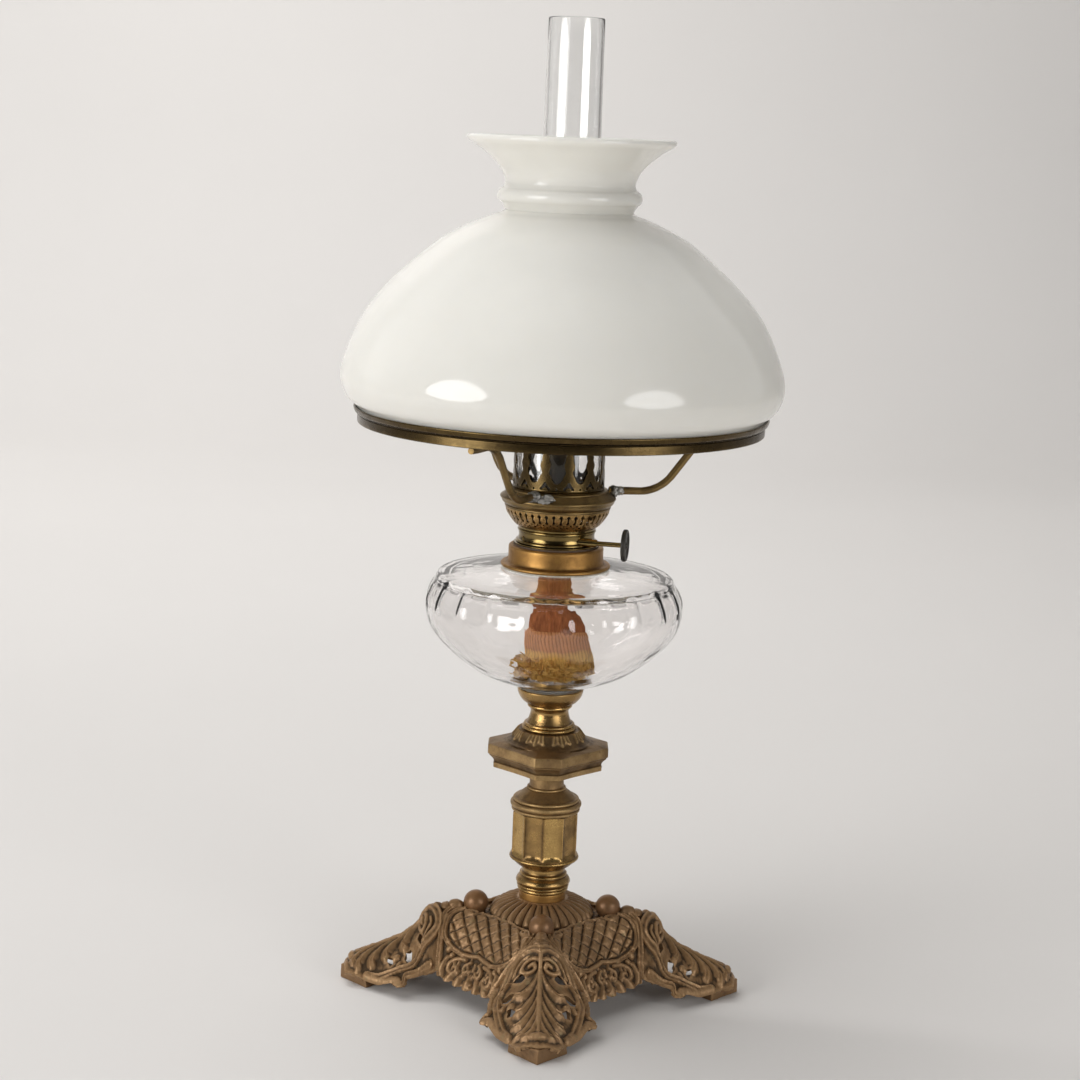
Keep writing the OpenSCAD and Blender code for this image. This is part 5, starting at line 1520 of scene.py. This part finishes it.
def chimney():
    """Clear chimney with a straight foot, a drawn-in shoulder and a long tapering tube."""
    z, f, h = measures("chimney")
    pinch, tube, top, up, foot = 16.5, 17.5, 16.2, 53.0, 38.0
    outer = smooth_line([(f - 0.3, 0.2), (f, 0.8), (f, foot - 4), (f - 0.3, foot), (f - 3.4, foot + 5.6),
                         (pinch + 1.6, up - 4.5), (pinch, up), (tube - 0.3, up + 6), (tube, up + 14)], 8)
    outer += [(tube + (top - tube) * t / 12, up + 14 + (h - 0.9 - up - 14) * t / 12) for t in range(1, 13)]
    wall = 1.6
    inner = [p for p in inset(outer, wall) if p[1] < h - 1 and p[1] > 0.5]
    rim = bead(top - wall / 2, h - wall / 2, wall / 2, 0, 180, 8)
    line = outer[:-1] + rim + list(reversed(inner)) + [(f - wall, 0.3)]
    return turned("glass_chimney", raised(line, z), 128, 60)


def shade():
    """Opal shade: turned-in foot, broad shoulder, beaded neck and flared rolled rim."""
    z, b, h = measures("shade")
    e, n, m, wall = 116.5, 37.0, 60.4, 3.0
    belly, k = 28.0, 124.0
    foot_h, foot = 9.4, 120.5
    low, high = belly - foot_h, k - belly
    steps = [(0.057, 0.193), (0.171, 0.406), (0.334, 0.588), (0.565, 0.785), (0.705, 0.875), (0.882, 0.954),
             (0.966, 0.983), (1, 1)]
    outer = [(e - 0.4, 0.1), (e, 0.5)]
    outer += smooth_line([(foot, foot_h), (foot + 0.68 * (b - foot), foot_h + low / 3), (b, belly)]
                         + [(b - x * (b - n), belly + y * high) for x, y in steps], 10)
    outer += bead(42 - 4.6, k + 8.4, 4.6, -62, 70, 16)
    outer += smooth_line([(n + 0.6, k + 15.3), (n + 1.5, k + 19.4), (n + 5, k + 25.2), (m - 10, h - 9.4),
                          (m - 2.4, h - 4.6)], 8)
    rim = bead(m - 1.9, h - 1.9, 1.9, -40, 150, 14)
    inner = [p for p in inset(outer, wall) if 1 < p[1] < h - 4.4]
    line = outer + rim + list(reversed(inner)) + [(e - wall, 0.4), (e - wall + 0.5, 0)]
    return turned("opal_shade", raised(line, z), 224, 60)


# Operators


class LampStep:
    """A step that makes pieces, each with its maker, body, finish, slot and the CAD node it stands for"""

    bl_options = {"REGISTER", "UNDO"}
    pieces = ()

    def execute(self, context):
        for make, body, finish, slot, node in self.pieces:
            made = make()
            for piece in made if isinstance(made, list) else [made]:
                dress(piece, body, finish_for(finish), slot, node)
        return {"FINISHED"}


class LAMP_OT_base(LampStep, bpy.types.Operator):
    """Casts the base: four legs, four panels, the dome and the balls"""

    bl_idname = "lamp.base"
    bl_label = "Cast base"
    pieces = (
        (legs, "stand", "bronze", "bronze", "base_casting"),
        (side_panels, "stand", "bronze", "bronze", "base_casting"),
        (dome, "stand", "bronze", "bronze", "base_casting"),
        (balls, "stand", "ball_bronze", "ball_bronze", "corner_balls"),
    )


class LAMP_OT_stem(LampStep, bpy.types.Operator):
    """Turns the stem from the collar on the dome to the cup under the font"""

    bl_idname = "lamp.stem"
    bl_label = "Turned stem"
    pieces = (
        (base_collar, "stand", "collar_gilt", "gilt", "base_collar"),
        (square_plate, "stand", "plate_bronze", "stem_brass", "square_plate"),
        (column_cap, "stand", "plate_bronze", "stem_brass", "column_cap"),
        (lower_knop, "stand", "gilding", "stem_brass", "lower_knop"),
        (column_drum, "stand", "gilding", "stem_brass", "column_drum"),
        (font_cup, "stand", "gilding", "stem_brass", "font_cup"),
    )


class LAMP_OT_font(LampStep, bpy.types.Operator):
    """Makes the glass font and its screw collar"""

    bl_idname = "lamp.font"
    bl_label = "Oil font"
    pieces = (
        (font, "stand", "font_glass", "clear_glass", "font"),
        (font_collar, "stand", "collar_gilt", "gilt", "font_collar"),
    )


class LAMP_OT_burner(LampStep, bpy.types.Operator):
    """Makes the burner with its pierced basket and crown, the rods and the ring for the shade"""

    bl_idname = "lamp.burner"
    bl_label = "Burner"
    pieces = (
        (burner_neck, "burner", "polished_brass", "polished_brass", "burner_neck"),
        (air_basket, "burner", "basket_brass", "aged_brass", "air_basket"),
        (burner_band, "burner", "dull_brass", "aged_brass", "burner_band"),
        (chimney_gallery, "burner", "aged_brass", "aged_brass", "chimney_gallery"),
        (shade_arms, "burner", "dull_brass", "aged_brass", "shade_arms"),
        (shade_ring, "burner", "aged_brass", "aged_brass", "shade_ring"),
        (solder_joints, "burner", "solder", "solder", "solder_joints"),
    )


class LAMP_OT_wick(LampStep, bpy.types.Operator):
    """Weaves the wick and makes the knob that raises it"""

    bl_idname = "lamp.wick"
    bl_label = "Wick and knob"
    pieces = (
        (wick_knob, "knob", "knob_brass", "dark_brass", "wick_knob"),
        (knob_rivet, "knob", "knob_brass", "dark_brass", "knob_rivet"),
    )

    def execute(self, context):
        super().execute(context)
        cloth = dress(wick(), "wick", finish_for("cotton"), "cotton", "wick")
        fray = dress(wick_fray(), "wick", finish_for("cotton"), "cotton", "wick")
        return {"FINISHED"}


class LAMP_OT_glass(LampStep, bpy.types.Operator):
    """Blows the chimney and the shade"""

    bl_idname = "lamp.glass"
    bl_label = "Chimney and shade"
    pieces = (
        (chimney, "chimney", "chimney_glass", "chimney_glass", "chimney"),
        (shade, "shade", "opal", "opal_glass", "shade"),
    )


class LAMP_OT_hidden(LampStep, bpy.types.Operator):
    """Gives the pieces that stay as drawn in the frame their finishes"""

    bl_idname = "lamp.hidden"
    bl_label = "Fittings"

    def execute(self, context):
        kept = {
            "steel": ("tie_rod", "tie_nut", "tie_washer", "cup_nut"),
            "plaster": ("cup_plaster", "collar_plaster"),
            "leather": ("burner_washer",),
            "sooty_brass": ("outer_tube", "draught_tube"),
            "polished_brass": ("spindle_sleeve", "wick_spindle", "wick_cogs"),
        }
        for key, nodes in kept.items():
            for node in nodes:
                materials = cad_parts[node].data.materials
                materials.clear()
                materials.append(finish_for(key))
        return {"FINISHED"}


class LAMP_OT_stage(LampStep, bpy.types.Operator):
    """Lays the pale paper, sets the lights and the camera"""

    bl_idname = "lamp.stage"
    bl_label = "Stage"

    def execute(self, context):
        self.paper()
        self.lights(context)
        self.camera(context)
        context.scene.view_settings.view_transform = "Standard"
        return {"FINISHED"}

    def paper(self):
        """One sheet of paper: flat under the lamp, curved up behind it."""
        let_go()
        bpy.ops.mesh.primitive_plane_add(size=1)
        piece = named("paper_floor")
        edit_all()
        bpy.ops.transform.resize(value=(9, 4.4, 1))
        bpy.ops.object.mode_set(mode="OBJECT")
        back = [e.index for e in piece.data.edges
                if all(piece.data.vertices[i].co.y > 2.1 for i in e.vertices)]
        bpy.context.tool_settings.mesh_select_mode = (False, True, False)
        for part in (piece.data.polygons, piece.data.edges, piece.data.vertices):
            part.foreach_set("select", np.zeros(len(part), bool))
        for i in back:
            piece.data.edges[i].select = True
        bpy.ops.object.mode_set(mode="EDIT")
        curve = bead(0, 1.0, 1.0, -90, 0, 12)
        for (y0, z0), (y1, z1) in zip(curve, curve[1:] + [(1.0, 3.4)]):
            bpy.ops.mesh.extrude_region_move(TRANSFORM_OT_translate={"value": (0, y1 - y0, z1 - z0)})
        bpy.context.tool_settings.mesh_select_mode = (True, False, False)
        close_up()
        smooth(piece, 60)
        piece.data.materials.append(finish_for("paper"))

    def lights(self, context):
        world = bpy.data.worlds.new("studio")
        world.use_nodes = True
        tree = world.node_tree
        room = tree.nodes["Background"]
        way = tree.nodes.new("ShaderNodeSeparateXYZ")
        tree.links.new(tree.nodes.new("ShaderNodeTexCoord").outputs["Generated"], way.inputs[0])
        put(tree, room, Color=(0.95, 0.945, 0.94, 1), Strength=ramp(tree, way.outputs["Y"], -0.3, 0.5, 0.04, 0.5))
        context.scene.world = world
        boxes = [
            ("left_box", (-1.3, -0.98, 0.52), (0, 0, 0.42), (1.0, 1.0), 16),
            ("right_box", (1.12, -1.1, 0.52), (0, 0, 0.42), (0.9, 0.9), 9.5),
            ("top_box", (-0.95, -0.3, 2.45), (0, 0, 0.1), (2.6, 2.6), 33),
            ("back_box", (-1.0, 1.2, 2.7), (-0.6, 3.2, 1.0), (3.0, 0.7), 80),
        ]
        for name, place, aim, size, power in boxes:
            let_go()
            bpy.ops.object.light_add(type="AREA", location=place)
            light = bpy.context.object
            light.name = name
            light.data.shape = "ELLIPSE"
            light.data.size, light.data.size_y = size
            light.data.energy = power
            light.visible_glossy = name in ("left_box", "right_box")
            light.rotation_euler = (Vector(aim) - Vector(place)).to_track_quat("-Z", "Y").to_euler()

    def camera(self, context):
        let_go()
        bpy.ops.object.camera_add()
        camera = bpy.context.object
        camera.name = "camera"
        camera.data.sensor_width = 36
        camera.data.lens = 75.4
        camera.matrix_world = (
            Matrix.Translation((-9.7 * MM, -1320 * MM, 520.7 * MM))
            @ Matrix.Rotation(math.radians(90 - 10.42), 4, "X") @ Matrix.Rotation(math.radians(2.2), 4, "Z"))
        context.scene.camera = camera


class LAMP_PT_panel(bpy.types.Panel):
    """The lamp's steps, in order"""

    bl_label = "Lamp"
    bl_idname = "LAMP_PT_panel"
    bl_space_type = "VIEW_3D"
    bl_region_type = "UI"
    bl_category = "Lamp"

    def draw(self, context):
        for group in (context.scene.lamp_sizes, context.scene.lamp_colours):
            box = self.layout.box()
            for key in group.__annotations__:
                box.prop(group, key)
        for step in STEPS:
            self.layout.operator(step.bl_idname)


STEPS = (LAMP_OT_stage, LAMP_OT_base, LAMP_OT_stem, LAMP_OT_font, LAMP_OT_burner, LAMP_OT_wick, LAMP_OT_glass,
         LAMP_OT_hidden)
CLASSES = (LampSizes, LampColours, *STEPS, LAMP_PT_panel)


def register():
    for item in CLASSES:
        bpy.utils.register_class(item)
    bpy.types.Scene.lamp_sizes = PointerProperty(type=LampSizes)
    bpy.types.Scene.lamp_colours = PointerProperty(type=LampColours)


def unregister():
    del bpy.types.Scene.lamp_colours
    del bpy.types.Scene.lamp_sizes
    for item in reversed(CLASSES):
        bpy.utils.unregister_class(item)


def main():
    register()
    let_go()
    bpy.ops.lamp.stage()
    bpy.ops.lamp.base()
    bpy.ops.lamp.stem()
    bpy.ops.lamp.font()
    bpy.ops.lamp.burner()
    bpy.ops.lamp.wick()
    bpy.ops.lamp.glass()
    bpy.ops.lamp.hidden()


if __name__ == "__main__":
    main()
